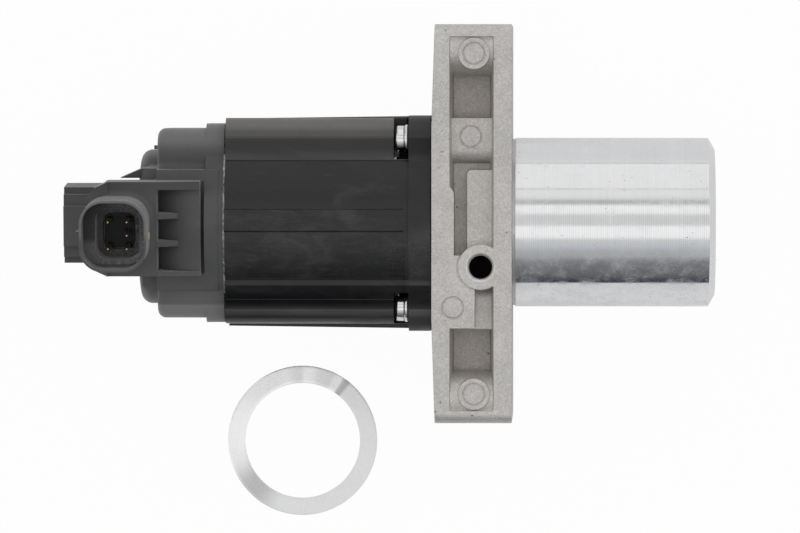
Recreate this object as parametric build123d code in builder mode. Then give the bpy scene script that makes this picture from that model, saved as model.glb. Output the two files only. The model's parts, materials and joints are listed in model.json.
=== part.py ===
from build123d import *
from math import cos, pi, radians, sin
import os

# An exhaust gas recirculation valve that lies on its side: +X runs along the axis to the barrel's nose,
# the origin is on that axis in the flange's mounting face, and +Z points up past the connector.
# All sizes are in millimetres.

# Sizes of the cast flange
bolt_spacing_long = 102.5
bolt_spacing_short = 49.5
bolt_boss_radius = 8.25
bolt_hole_radius = 4.25
flange_thickness = 24.0
flange_corner = 3.0
mounting_plate = 5.5
actuator_plate = 5.5
end_relief = 1.0
relief_start = 28.0
channel_draft = 5.0
pocket_depth = 11.0
pad_depth = 6.0
pad_block_width = 8.0
pad_block_top = 16.1
pad_block_corner = 1.6
screw_boss_radius = 7.2
screw_boss_reach = 6.3
screw_boss_corner = 4.4
channel_overrun = 4.5
wall_step = 1.3
wall_step_y = 9.4
wall_step_run = 1.7
lower_block_width = 7.5
lower_block_top = -9.4
lower_block_end = -31.2
end_boss_radius = 8.0
end_boss_shift = 0.95
ejector_pad_inset = 0.5
ejector_pad_radius = 4.75
ejector_pad_rise = 0.15
ejector_pad_x = -11.3
ejector_mark_radius = 3.35
ejector_mark_depth = 0.25
ejector_mark_groove = 0.35
boss_mark_x = -12.3
boss_mark_y = 26.0
lower_mark_x = -17.6
lower_mark_y = -25.0
port_radius = 3.45
port_chamfer = 0.8
port_boss_radius = 6.8
pad_root = 2.0
port_depth = 19.0
port_x = -9.3
port_y = -12.9
vent_drill_radius = 1.2
vent_drill_y = -10.5
vent_drill_z = 8.0
screw_hole_spare = 2.0
register_gap = 0.1

# Sizes of the machined barrel and what it holds
barrel_radius = 25.5
barrel_length = 61.0
nose_radius = 22.1
nose_chamfer = 1.9
nose_bore_chamfer = 0.6
root_groove_width = 0.9
root_groove_depth = 0.3
chamber_radius = 19.5
spigot_radius = 21.0
spigot_length = 4.0
spigot_lip = 1.5
seat_x = 46.0
seat_length = 4.0
seat_outer_radius = 20.5
seat_bore_radius = 15.5
seat_land = 1.5
seat_lead_in = 0.8
window_start = 8.0
window_length = 20.0
window_width = 28.0
window_corner = 5.0
stem_radius = 3.0
running_clearance = 0.03
guide_radius = 6.0
guide_boss_radius = 9.0
guide_boss_length = 7.0
guide_length = 18.0
guide_inset = 0.5
guide_mouth = 0.6
guide_mouth_length = 0.5
shield_thickness = 1.0
shield_length = 2.5
shield_cone = 3.5
shield_cone_wall = 0.9
shield_mouth_gap = 0.4
shield_mouth_wall = 1.6
seal_thickness = 2.2
seal_lip_base = 1.4
seal_lip_start = 0.9
seal_lip_width = 0.5
seal_shell = 1.2
disc_thickness = 3.4
disc_gap = 0.05
disc_edge_gap = 0.1
disc_hub_length = 4.0
disc_hub_wall = 1.0
dish_start = 1.4
dish_start_wall = 2.2
dish_end = 0.2
dish_end_wall = 5.0
stem_tip_chamfer = 0.3
stem_rivet = 0.8
stem_rivet_chamfer = 0.4

# Sizes of the return spring and its retainer
spring_chamber_radius = 14.5
spring_seat_x = -12.0
spring_radius = 10.0
spring_wire = 0.9
spring_turns = 4.0
wire_facets = 8
retainer_radius = 12.0
retainer_thickness = 1.6
retainer_x = -32.0
retainer_hub_top = 1.4
retainer_hub_root = 2.2
collet_radius = 5.0
collet_length = 4.0
collet_taper = 0.8
collet_slit = 0.5
collet_groove_start = 1.0
collet_groove_end = 2.4
collet_groove_depth = 0.5

# Sizes of the actuator housing
screw_y = 25.3
screw_z = 20.0
base_plate = 6.9
base_radius = 32.3
base_half_height = 27.0
housing_length = 61.8
housing_clocking = -2.3
housing_radius = 30.8
column_half_height = 25.0
cavity_radius = 26.4
floor_thickness = 10.0
floor_bore_radius = 16.0
register_radius = 18.0
register_length = 2.5
side_rib_width = 3.0
side_rib_rise_front = 1.3
side_rib_rise_back = 0.6
band_half_width = 3.3
band_rise = 0.3
screw_pocket_length = 4.5
screw_pocket_radius = 7.4
edge_chamfer = 0.4
oring_radius = 22.5
oring_wire = 1.0
oring_groove_gap = 0.3

# Sizes of the housing screws
screw_shank_radius = 2.45
screw_hole_radius = 2.5
screw_clearance_radius = 2.8
screw_length = 16.0
screw_head_radius = 4.0
screw_head_height = 2.7
screw_drive_radius = 1.9
screw_drive_depth = 1.4
screw_head_round = 1.0
washer_radius = 4.3
washer_thickness = 1.4

# Sizes of the end cap, its tower and the connector
cap_clocking = 5.0
ring_radius = 29.9
ring_length = 6.0
cap_radius = 28.5
cap_length = 20.6
cap_half_height = 22.0
cap_corner = 6.4
cap_wall = 2.6
cap_edge = 2.4
crown_half_width = 18.2
crown_rise = 0.25
crown_setback = 2.2
brow_overhang = 4.5
brow_drop = 3.0
brow_foot = 12.0
brow_corner = 1.6
dome_radius = 23.3
dome_y = -1.3
dome_height = 5.8
dome_edge = 3.2
knob_radius = 0.6
knob_length = 1.5
knob_y = 23.6
knob_z = 9.0
stub_length = 29.3
stub_y = -0.6
stub_half_width = 11.5
stub_step_half_width = 9.5
stub_top_half_width = 6.1
stub_bottom = -10.0
stub_shoulder = 3.5
stub_step = 5.5
stub_top = 7.0
tower_top = 32.0
tower_overhang = 15.4
tower_inset = 0.5
tower_y_low = -13.0
tower_y_high = 15.3
tower_foot = 3.0
tower_head_foot = 25.0
tower_neck_inset = 3.0
tower_wall = 1.2
tower_corner = 1.2
frame_foot = 18.0
frame_top = 30.6
frame_setback = 1.3
frame_wall_high = 2.4
frame_wall_low = 1.3
frame_groove_width = 1.1
frame_groove_depth = 2.6
scoop_deep = 22.5
scoop_shallow = 29.9
scoop_bulge = 2.0
rib_root = 1.0
rib_top_drop = 0.4
rib_width = 1.6
rib_length = 6.2
rib_spacing = 8.3
rib_y = 0.7
gusset_reach = 6.6
gusset_top = 19.5
gusset_foot = 16.0
shell_overhang = 11.7
shell_y = 0.5
shell_length = 20.0
shell_width = 21.3
shell_corner = 7.2
shell_wall = 0.7
shell_root_radius = 1.8
shell_root_steps = 3
shell_top = 47.0
shell_bottom = 24.0
shell_ledge = 39.0
shell_floor = 29.0
shell_foot = 15.0
floor_length = 13.2
floor_width = 15.6
floor_corner = 4.0
insert_shift = 0.9
insert_length = 9.2
insert_width = 9.6
insert_depth = 1.6
socket_size = 2.2
socket_depth = 1.4
latch_reach = 1.0
latch_width = 2.8
latch_height = 3.0
latch_drop = 1.5
wing_bottom = 27.0
wing_top = 33.0
wing_length = 5.4
wing_thickness = 1.5
pin_pitch_x = 5.6
pin_pitch_y = 4.0
pin_size = 0.9
pin_top = 39.5
pin_tip_length = 1.2
pin_tip_taper = 12.0
gasket_thickness = 0.5
gasket_width = 2.6
gasket_bead = 0.2
cap_mouth_length = 8.0
cap_room_wall = 2.0
cap_spigot_length = 2.0
cap_spigot_wall = 1.6
cap_spigot_gap = 0.15
cap_spigot_root = 1.0

# Sizes of the motor
yoke_thickness = 2.2
yoke_overhang = 7.0
yoke_gap = 0.2
magnet_thickness = 3.4
magnet_overhang = 4.0
magnet_angle = 72.0
magnet_count = 4
air_gap = 1.0
tooth_count = 12
tooth_width = 2.4
tooth_tip = 1.4
slot_opening = 2.0
slot_shoulder = 0.6
core_hub_radius = 11.0
winding_overhang = 5.0
winding_gap = 0.4
winding_inner_gap = 1.4
winding_outer_gap = 0.6
bundle_gap = 0.35
nut_radius = 7.5
nut_shoulder_radius = 9.0
nut_end_gap = 0.2
thread_radius = 4.5
thread_gap = 0.05
bearing_radius = 14.0
bearing_length = 7.0
ball_radius = 1.7
ball_count = 7
race_thickness = 2.0
race_gap = 0.03
cage_thickness = 0.8
cage_edge = 0.5
cage_gap = 0.04
bearing_plate_thickness = 1.8
bearing_cup = 1.5
bearing_cup_setback = 1.0
commutator_radius = 12.5
commutator_length = 6.0
commutator_bars = 12
commutator_slit = 0.5
commutator_slit_depth = 1.5
rear_bush_length = 3.2
rear_bush_radius = 10.0
rear_bush_collar = 0.8
brush_plate_thickness = 2.0
brush_plate_setback = 3.8
holder_wall = 1.0
holder_gap = 1.0
brush_side_gap = 0.05
brush_width = 5.0
brush_length = 8.0
brush_height = 4.4

# Sizes of the drive screw and the position sensor
valve_travel = 8.0
screw_tip_setback = 0.8
screw_tip_chamfer = 1.0
screw_end_chamfer = 0.6
screw_spare = 0.8
drive_flat = 3.4
drive_flat_spare = 3.0
flat_clearance = 0.08
plunger_head_radius = 6.0
plunger_head = 1.5
plunger_radius = 3.0
plunger_end_chamfer = 0.4
plunger_guide_gap = 0.06
plunger_spring_radius = 4.6
plunger_spring_wire = 0.45
plunger_spring_turns = 4.0
plunger_spring_room = 5.9
plunger_bore_spare = 4.0
plunger_bore_wall = 7.1
guide_tube_radius = 4.8
guide_tube_root = 1.0
magnet_length = 8.0
magnet_radius = 1.9
board_length = 15.6
board_width = 15.0
board_thickness = 1.6
board_level = 8.4
board_room_above = 1.6
board_room_below = 1.8
board_side_room = 0.4
chip_length = 5.0
chip_width = 4.0
chip_height = 1.4
terminal_spread = 13.0
terminal_level = 11.0
terminal_width = 4.0
terminal_thickness = 0.8

# Sizes and place of the wave spring washer, which lies loose beside the valve
washer_outer_radius = 23.0
washer_inner_radius = 17.7
washer_sheet = 0.5
wave_height = 0.55
wave_count = 3
wave_steps = 15
washer_x = -64.9
washer_y = -67.9

# How near to each other two things touch
touching = 0.01

# Stations and levels that follow from the sizes above
flange_half_length = bolt_spacing_long / 2 + bolt_boss_radius
flange_half_width = bolt_spacing_short / 2 + bolt_boss_radius
flange_back = -flange_thickness
channel_low_x = flange_back + actuator_plate
channel_high_x = -mounting_plate
seam_x = flange_back - housing_length
cavity_floor_x = flange_back - floor_thickness
ring_left_x = seam_x - ring_length
cap_end_x = seam_x - cap_length
dome_end_x = cap_end_x - dome_height
stub_end_x = cap_end_x - stub_length
column_radius = housing_radius - screw_y
bearing_right_x = cavity_floor_x - bearing_plate_thickness
bearing_left_x = bearing_right_x - bearing_length
core_right_x = bearing_left_x - winding_gap - winding_overhang
brush_plate_left_x = seam_x + brush_plate_setback
brush_plate_right_x = brush_plate_left_x + brush_plate_thickness
commutator_left_x = brush_plate_right_x + winding_gap
commutator_right_x = commutator_left_x + commutator_length
rear_winding_x = commutator_right_x + winding_gap
core_left_x = rear_winding_x + winding_overhang
core_length = core_right_x - core_left_x
core_middle_x = (core_right_x + core_left_x) / 2
nut_left_x = commutator_left_x - rear_bush_length
yoke_outer_radius = cavity_radius - yoke_gap
yoke_inner_radius = yoke_outer_radius - yoke_thickness
magnet_inner_radius = yoke_inner_radius - magnet_thickness
core_radius = magnet_inner_radius - air_gap
screw_tip_x = cavity_floor_x + screw_tip_setback
drive_screw_end_x = nut_left_x - valve_travel - screw_spare
plunger_face_x = drive_screw_end_x
stem_end_x = screw_tip_x
disc_x = seat_x + seat_length - seat_land
stem_head_x = disc_x + disc_thickness + stem_rivet
spring_left_x = retainer_x + retainer_thickness
collet_groove_left = retainer_x + collet_groove_start
collet_groove_right = retainer_x + collet_groove_end
seat_mouth_radius = seat_bore_radius + seat_land
tower_left = cap_end_x - tower_overhang
tower_right = cap_end_x + tower_inset
frame_right = ring_left_x - frame_setback
shell_x = cap_end_x - shell_overhang
shell_left_x = shell_x - shell_length / 2
tower_middle_y = (tower_y_low + tower_y_high) / 2
tower_width = tower_y_high - tower_y_low
ring_corner = cap_corner + ring_radius - cap_radius
cap_face_x = seam_x - gasket_thickness
cap_inner_x = cap_end_x + cap_wall
cap_cavity_radius = cap_radius - cap_wall
cap_room_radius = scoop_deep - cap_room_wall
cap_mouth_end = seam_x - cap_mouth_length
crown_right_x = seam_x - crown_setback
brow_left_x = cap_end_x - brow_overhang
plunger_head_x = plunger_face_x - plunger_head
plunger_bore_end = stub_end_x + plunger_bore_wall
plunger_end_x = plunger_bore_end + plunger_bore_spare
guide_tube_start = plunger_head_x - plunger_spring_room
board_left_x = tower_left + tower_wall
board_bottom = board_level
board_top = board_bottom + board_thickness
pad_spots = [(ejector_pad_x, side * (bolt_spacing_long / 2 - ejector_pad_inset)) for side in (1, -1)]
insert_x = shell_x + insert_shift
pin_spots = [(insert_x + pin_pitch_x / 2, row * pin_pitch_y) for row in (1, 0, -1)]
pin_spots += [(insert_x - pin_pitch_x / 2, row * pin_pitch_y) for row in (1, -1)]

os.makedirs("parts", exist_ok=True)


def across(x):
    """A plane square to the valve's axis at station x: its x runs along Y and its y along Z."""
    return Plane(origin=(x, 0, 0), x_dir=(0, 1, 0), z_dir=(1, 0, 0))


def clocked(x, degrees=cap_clocking):
    """The same plane, turned about the axis with the end cap, or by another angle."""
    turn = radians(degrees)
    return Plane(origin=(x, 0, 0), x_dir=(0, cos(turn), sin(turn)), z_dir=(1, 0, 0))


def above(z):
    """A plane of the turned end cap at height z over the axis: its x runs along X and its y along Y."""
    up = (0, -sin(radians(cap_clocking)), cos(radians(cap_clocking)))
    return Plane(origin=(0, up[1] * z, up[2] * z), x_dir=(1, 0, 0), z_dir=up)


def side_on():
    """The end cap's own upright plane through the axis: its x runs along X and its y up."""
    out = (0, -cos(radians(cap_clocking)), -sin(radians(cap_clocking)))
    return Plane(origin=(0, 0, 0), x_dir=(1, 0, 0), z_dir=out)


def turned(*points):
    """The closed outline of (station, radius) points, ready to be revolved about the valve's axis."""
    with BuildSketch(Plane.XZ) as outline:
        with BuildLine():
            Polyline(*points, close=True)
        make_face()
    return outline.sketch


def ring_outline(x_from, x_to, inner, outer):
    """The outline of a plain ring or tube between two stations."""
    return turned((x_from, inner), (x_to, inner), (x_to, outer), (x_from, outer))


def rounded_can(plane, radius, half_width, half_height, corner):
    """The section of a moulded can: a circle joined with a rounded rectangle that carries its columns."""
    with BuildSketch(plane) as section:
        Circle(radius)
        RectangleRounded(2 * half_width, 2 * half_height, corner)
    return section.sketch


def coil(x_from, x_to, radius, wire, turns):
    """A coil spring about the valve's axis between two stations, as one swept wire."""
    pitch = (abs(x_to - x_from) - 2 * wire) / turns
    start = min(x_from, x_to) + wire
    with BuildPart() as spring:
        with BuildLine():
            path = Helix(pitch, pitch * turns, radius, center=(start, 0, 0), direction=(1, 0, 0))
        with BuildSketch(Plane(origin=path @ 0, z_dir=path % 0)):
            RegularPolygon(wire, wire_facets)
        sweep(is_frenet=True)
    return spring.part


def ring_marks(level, *spots):
    """The ring grooves that ejector pins leave, about the given spots at one height."""
    with BuildSketch(Plane.XY.offset(level)) as marks:
        with Locations(*spots):
            Circle(ejector_mark_radius)
            Circle(ejector_mark_radius - ejector_mark_groove, mode=Mode.SUBTRACT)
    return marks.sketch


def save(piece, name):
    """Labels a finished piece and writes it to its own file."""
    piece.label = name
    export_step(piece, f"parts/{name}.step")


# Core of the channel between the flange's two plates, with the bosses that cross it left out
def channel_core(port_side):
    """The space that is cut from one long edge of the flange. The port side also has the port's boss."""
    top_down = Plane(origin=(0, 0, flange_half_width), x_dir=(1, 0, 0), z_dir=(0, 0, -1))
    half_length = bolt_spacing_long / 2 + channel_overrun
    middle_x = (channel_low_x + channel_high_x) / 2
    width = channel_high_x - channel_low_x
    slot_top = screw_y - screw_boss_radius
    boss_top = screw_z + screw_boss_radius
    boss_end = screw_y + screw_boss_reach
    curve_top = slot_top + screw_boss_corner
    curve_foot = boss_top - screw_boss_corner
    pad_middle = (pad_block_top + port_y) / 2
    block_middle = (lower_block_top + lower_block_end) / 2
    with BuildPart() as core:
        with BuildSketch(top_down):
            with Locations((middle_x, 0)):
                Rectangle(width, 2 * half_length)
        extrude(amount=pocket_depth, taper=channel_draft)
        with BuildSketch(across(0)):
            for side in (1, -1):
                with Locations((side * (bolt_spacing_long / 2 + end_boss_shift), bolt_spacing_short / 2)):
                    Circle(end_boss_radius)
            with BuildLine():
                Polyline(
                    (slot_top, curve_foot), (slot_top, 0), (boss_end, 0), (boss_end, boss_top),
                    (curve_top, boss_top),
                )
                RadiusArc((curve_top, boss_top), (slot_top, curve_foot), -screw_boss_corner)
            make_face()
            mirror(about=Plane.YZ)
        extrude(amount=-flange_thickness, mode=Mode.SUBTRACT)
        with BuildSketch(Plane.XY):
            with Locations(*pad_spots):
                Circle(ejector_pad_radius)
        extrude(amount=flange_half_width, mode=Mode.SUBTRACT)
        with BuildSketch(Plane.XY):
            with Locations((channel_high_x - pad_block_width / 2, pad_middle)):
                Rectangle(pad_block_width, pad_block_top - port_y)
            fillet(vertices().group_by(Axis.Y)[-1].sort_by(Axis.X)[0], pad_block_corner)
        extrude(amount=flange_half_width - pad_depth, mode=Mode.SUBTRACT)
        if port_side:
            with BuildSketch(Plane.XY):
                with Locations((port_x, port_y)):
                    Circle(port_boss_radius)
                with BuildLine():
                    Polyline(
                        (channel_low_x, port_y), (channel_low_x + wall_step, port_y),
                        (channel_low_x + wall_step, wall_step_y),
                        (channel_low_x, wall_step_y + wall_step_run), close=True,
                    )
                make_face()
                with Locations((channel_low_x + lower_block_width / 2, block_middle)):
                    Rectangle(lower_block_width, lower_block_top - lower_block_end)
            extrude(amount=flange_half_width, mode=Mode.SUBTRACT)
    return core.part


# Cast flange
port_core = channel_core(True)
hidden_core = channel_core(False).mirror(Plane.XY)
with BuildPart() as flange_housing:
    with BuildSketch(Plane.XY):
        with BuildLine():
            Polyline(
                (0, -flange_half_length), (0, flange_half_length),
                (flange_back + end_relief, flange_half_length), (flange_back, relief_start),
                (flange_back, -relief_start), (flange_back + end_relief, -flange_half_length), close=True,
            )
        make_face()
    extrude(amount=flange_half_width, both=True)
    with BuildSketch(across(0)):
        RectangleRounded(2 * flange_half_length, 2 * flange_half_width, flange_corner)
    extrude(amount=-flange_thickness, mode=Mode.INTERSECT)
    add(port_core, mode=Mode.SUBTRACT)
    add(hidden_core, mode=Mode.SUBTRACT)
    with BuildSketch(Plane.XY.offset(flange_half_width - pad_root)):
        with Locations(*pad_spots):
            Circle(ejector_pad_radius)
    extrude(amount=pad_root + ejector_pad_rise)
    with BuildSketch(Plane.XY.offset(flange_half_width)):
        with Locations((port_x, port_y)):
            Circle(port_boss_radius + ejector_mark_groove)
            Circle(port_boss_radius, mode=Mode.SUBTRACT)
        with Locations((channel_high_x - flange_thickness / 2, 0)):
            Rectangle(flange_thickness, 2 * flange_half_length, mode=Mode.INTERSECT)
    extrude(amount=-ejector_mark_depth, mode=Mode.SUBTRACT)
    for marks in (
        ring_marks(flange_half_width + ejector_pad_rise, *pad_spots),
        ring_marks(flange_half_width, (lower_mark_x, lower_mark_y)),
        ring_marks(screw_z + screw_boss_radius, (boss_mark_x, boss_mark_y)),
    ):
        extrude(marks, amount=-ejector_mark_depth, dir=(0, 0, 1), mode=Mode.SUBTRACT)
    # Bores along the axis: spring chamber, guide bush and the barrel's spigot
    with BuildSketch(across(0)):
        Circle(guide_boss_radius)
    extrude(amount=guide_boss_length)
    with BuildSketch(across(spring_seat_x)):
        Circle(spring_chamber_radius)
    extrude(amount=flange_back - spring_seat_x, mode=Mode.SUBTRACT)
    with BuildSketch(across(flange_back)):
        Circle(register_radius + register_gap)
    extrude(amount=register_length + register_gap, mode=Mode.SUBTRACT)
    with BuildSketch(across(flange_back)):
        Circle(guide_radius)
    extrude(amount=flange_thickness + guide_boss_length, mode=Mode.SUBTRACT)
    with BuildSketch(across(0)):
        Circle(spigot_radius)
        Circle(chamber_radius - spigot_lip, mode=Mode.SUBTRACT)
    extrude(amount=-spigot_length, mode=Mode.SUBTRACT)
    # Holes for the mounting bolts and for the housing screws
    with BuildSketch(across(0)):
        with GridLocations(bolt_spacing_long, bolt_spacing_short, 2, 2):
            Circle(bolt_hole_radius)
    extrude(amount=-flange_thickness, mode=Mode.SUBTRACT)
    with BuildSketch(across(flange_back)):
        with GridLocations(2 * screw_y, 2 * screw_z, 2, 2):
            Circle(screw_hole_radius)
    extrude(amount=screw_length - base_plate + screw_hole_spare, mode=Mode.SUBTRACT)
    # Side port with its chamfer, and the fine drilling that vents the spring chamber into it
    with BuildSketch(Plane.XY.offset(flange_half_width)):
        with Locations((port_x, port_y)):
            Circle(port_radius)
    extrude(amount=-port_depth, mode=Mode.SUBTRACT)
    chamfer(
        flange_housing.edges().filter_by(GeomType.CIRCLE)
        .filter_by(lambda e: abs(e.radius - port_radius) < touching).sort_by(Axis.Z)[-1],
        port_chamfer,
    )
    with BuildSketch(across(spring_seat_x)):
        with Locations((vent_drill_y, vent_drill_z)):
            Circle(vent_drill_radius)
    extrude(amount=port_x - spring_seat_x + vent_drill_radius, mode=Mode.SUBTRACT)
    with BuildSketch(Plane.XY.offset(vent_drill_z)):
        with Locations((port_x, vent_drill_y)):
            Circle(vent_drill_radius)
    extrude(amount=flange_half_width - port_depth - vent_drill_z + port_chamfer, mode=Mode.SUBTRACT)
save(flange_housing.part, "flange_housing")

# Machined barrel with its gas window on the underside
with BuildPart() as barrel:
    revolve(turned(
        (-spigot_length, chamber_radius), (-spigot_length, spigot_radius), (0, spigot_radius),
        (0, barrel_radius - root_groove_depth), (root_groove_width, barrel_radius - root_groove_depth),
        (root_groove_width, barrel_radius), (barrel_length - nose_chamfer, barrel_radius),
        (barrel_length, nose_radius), (barrel_length, seat_outer_radius + nose_bore_chamfer),
        (barrel_length - nose_bore_chamfer, seat_outer_radius), (seat_x, seat_outer_radius),
        (seat_x, chamber_radius),
    ), axis=Axis.X)
    with BuildSketch(Plane.XY):
        with Locations((window_start + window_length / 2, 0)):
            RectangleRounded(window_length, window_width, window_corner)
    extrude(amount=-barrel_radius, mode=Mode.SUBTRACT)
save(barrel.part, "barrel")

# Seat ring pressed into the barrel
with BuildPart() as valve_seat:
    revolve(turned(
        (seat_x, seat_bore_radius + seat_lead_in), (seat_x + seat_lead_in, seat_bore_radius),
        (disc_x, seat_bore_radius),
        (seat_x + seat_length, seat_mouth_radius), (seat_x + seat_length, seat_outer_radius),
        (seat_x, seat_outer_radius),
    ), axis=Axis.X)
save(valve_seat.part, "valve_seat")

# Poppet disc with a dished back that blends into the stem
with BuildPart() as poppet:
    revolve(turned(
        (disc_x - disc_hub_length, stem_radius), (disc_x - disc_hub_length, stem_radius + disc_hub_wall),
        (disc_x - dish_start, stem_radius + dish_start_wall),
        (disc_x - dish_end, stem_radius + dish_end_wall),
        (disc_x + disc_gap, seat_bore_radius - disc_edge_gap),
        (disc_x + seat_land + disc_gap, seat_mouth_radius - disc_edge_gap),
        (disc_x + disc_thickness, seat_mouth_radius - disc_edge_gap), (disc_x + disc_thickness, stem_radius),
    ), axis=Axis.X)
save(poppet.part, "poppet")

# Valve stem with the groove for its collets
with BuildPart() as valve_stem:
    revolve(turned(
        (stem_end_x, 0), (stem_end_x, stem_radius - stem_tip_chamfer),
        (stem_end_x + stem_tip_chamfer, stem_radius),
        (collet_groove_left, stem_radius), (collet_groove_left, stem_radius - collet_groove_depth),
        (collet_groove_right, stem_radius - collet_groove_depth), (collet_groove_right, stem_radius),
        (stem_head_x - stem_rivet_chamfer, stem_radius), (stem_head_x, stem_radius - stem_rivet_chamfer),
        (stem_head_x, 0),
    ), axis=Axis.X)
save(valve_stem.part, "valve_stem")

# Guide bush, stem seal and soot shield
guide_start = guide_boss_length - guide_length + guide_inset
with BuildPart() as stem_guide:
    revolve(turned(
        (guide_start, stem_radius + running_clearance),
        (guide_boss_length - guide_mouth_length, stem_radius + running_clearance),
        (guide_boss_length, stem_radius + guide_mouth), (guide_boss_length, guide_radius),
        (guide_start, guide_radius),
    ), axis=Axis.X)
save(stem_guide.part, "stem_guide")

with BuildPart() as stem_seal:
    revolve(turned(
        (guide_start, guide_radius), (guide_start, stem_radius + seal_lip_base),
        (guide_start - seal_lip_start, stem_radius + running_clearance),
        (guide_start - seal_lip_start - seal_lip_width, stem_radius + running_clearance),
        (guide_start - seal_lip_start - seal_lip_width, guide_radius - seal_shell),
        (guide_start - seal_thickness, guide_radius - seal_shell),
        (guide_start - seal_thickness, guide_radius),
    ), axis=Axis.X)
save(stem_seal.part, "stem_seal")

shield_mouth_x = guide_boss_length + shield_thickness + shield_cone
shield_mouth_radius = stem_radius + shield_mouth_gap
with BuildPart() as soot_shield:
    revolve(turned(
        (guide_boss_length - shield_length, guide_boss_radius),
        (guide_boss_length - shield_length, guide_boss_radius + shield_thickness),
        (guide_boss_length + shield_thickness, guide_boss_radius + shield_thickness),
        (shield_mouth_x, shield_mouth_radius + shield_mouth_wall), (shield_mouth_x, shield_mouth_radius),
        (shield_mouth_x - shield_cone_wall, shield_mouth_radius), (guide_boss_length, guide_boss_radius),
    ), axis=Axis.X)
save(soot_shield.part, "soot_shield")

# Return spring, its retainer and the two collet halves that lock the retainer to the stem
save(coil(spring_seat_x, spring_left_x, spring_radius, spring_wire, spring_turns), "return_spring")

with BuildPart() as spring_retainer:
    revolve(turned(
        (retainer_x, collet_radius - collet_taper), (retainer_x + collet_length, collet_radius),
        (retainer_x + collet_length, collet_radius + retainer_hub_top),
        (spring_left_x, collet_radius + retainer_hub_root),
        (spring_left_x, retainer_radius), (retainer_x, retainer_radius),
    ), axis=Axis.X)
save(spring_retainer.part, "spring_retainer")

with BuildPart() as retainer_collets:
    revolve(turned(
        (retainer_x, stem_radius), (collet_groove_left, stem_radius),
        (collet_groove_left, stem_radius - collet_groove_depth),
        (collet_groove_right, stem_radius - collet_groove_depth), (collet_groove_right, stem_radius),
        (retainer_x + collet_length, stem_radius), (retainer_x + collet_length, collet_radius),
        (retainer_x, collet_radius - collet_taper),
    ), axis=Axis.X)
    with BuildSketch(across(retainer_x)):
        Rectangle(3 * collet_radius, collet_slit)
    extrude(amount=collet_length, mode=Mode.SUBTRACT)
save(retainer_collets.part, "retainer_collets")

# Moulded actuator housing with its base plate
with BuildPart() as actuator_housing:
    extrude(
        rounded_can(
            clocked(seam_x, housing_clocking), housing_radius, housing_radius, column_half_height,
            column_radius,
        ),
        amount=housing_length - base_plate,
    )
    with BuildSketch(across(seam_x)):
        Rectangle(2 * (housing_radius + side_rib_rise_back), side_rib_width)
    with BuildSketch(across(flange_back - base_plate)):
        Rectangle(2 * (housing_radius + side_rib_rise_front), side_rib_width)
    loft()
    with BuildSketch(clocked(seam_x, housing_clocking)):
        with Locations((0, (housing_radius + band_rise) / 2)):
            Rectangle(2 * band_half_width, housing_radius + band_rise)
    extrude(amount=housing_length - base_plate)
    with BuildSketch(across(flange_back - base_plate - screw_pocket_length)):
        with GridLocations(2 * screw_y, 2 * screw_z, 2, 2):
            Circle(screw_pocket_radius)
    extrude(amount=screw_pocket_length, mode=Mode.SUBTRACT)
    extrude(
        rounded_can(
            across(flange_back - base_plate), base_radius, base_radius, base_half_height,
            base_radius - screw_y,
        ),
        amount=base_plate,
    )
    chamfer(
        actuator_housing.faces().sort_by(Axis.X)[-1].outer_wire().edges(), edge_chamfer,
    )
    with BuildSketch(across(flange_back)):
        Circle(register_radius)
    extrude(amount=register_length)
    with BuildSketch(across(seam_x)):
        Circle(cavity_radius)
    extrude(amount=housing_length - floor_thickness, mode=Mode.SUBTRACT)
    with BuildSketch(across(cavity_floor_x)):
        Circle(floor_bore_radius)
    extrude(amount=floor_thickness + register_length, mode=Mode.SUBTRACT)
    with BuildSketch(across(flange_back)):
        Circle(oring_radius + oring_wire + oring_groove_gap)
        Circle(oring_radius - oring_wire - oring_groove_gap, mode=Mode.SUBTRACT)
    extrude(amount=-2 * oring_wire, mode=Mode.SUBTRACT)
    with BuildSketch(across(flange_back)):
        with GridLocations(2 * screw_y, 2 * screw_z, 2, 2):
            Circle(screw_clearance_radius)
    extrude(amount=-base_plate, mode=Mode.SUBTRACT)
save(actuator_housing.part, "actuator_housing")

with BuildPart() as housing_seal:
    with BuildSketch(Plane.XZ):
        with Locations((flange_back - oring_wire, oring_radius)):
            RegularPolygon(oring_wire, wire_facets, major_radius=False, rotation=180 / wire_facets)
    revolve(axis=Axis.X)
save(housing_seal.part, "housing_seal")

# Screws that hold the housing, each with a washer under its head
washer_left_x = flange_back - base_plate - washer_thickness
with BuildPart() as housing_screws:
    with BuildSketch(across(washer_left_x - screw_head_height)):
        with GridLocations(2 * screw_y, 2 * screw_z, 2, 2):
            Circle(screw_head_radius)
    extrude(amount=screw_head_height)
    fillet(housing_screws.faces().group_by(Axis.X)[0].edges(), screw_head_round)
    with BuildSketch(across(washer_left_x - screw_head_height)):
        with GridLocations(2 * screw_y, 2 * screw_z, 2, 2):
            RegularPolygon(screw_drive_radius, 6)
    extrude(amount=screw_drive_depth, mode=Mode.SUBTRACT)
    with BuildSketch(across(washer_left_x)):
        with GridLocations(2 * screw_y, 2 * screw_z, 2, 2):
            Circle(screw_shank_radius)
    extrude(amount=screw_length + washer_thickness)
save(housing_screws.part, "housing_screws")

with BuildPart() as screw_washers:
    with BuildSketch(across(washer_left_x)):
        with GridLocations(2 * screw_y, 2 * screw_z, 2, 2):
            Circle(washer_radius)
            Circle(screw_hole_radius, mode=Mode.SUBTRACT)
    extrude(amount=washer_thickness)
save(screw_washers.part, "screw_washers")

# Motor yoke and its magnets
with BuildPart() as motor_yoke:
    revolve(ring_outline(
        core_left_x - yoke_overhang, core_right_x + yoke_overhang, yoke_inner_radius, yoke_outer_radius,
    ), axis=Axis.X)
save(motor_yoke.part, "motor_yoke")

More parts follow.
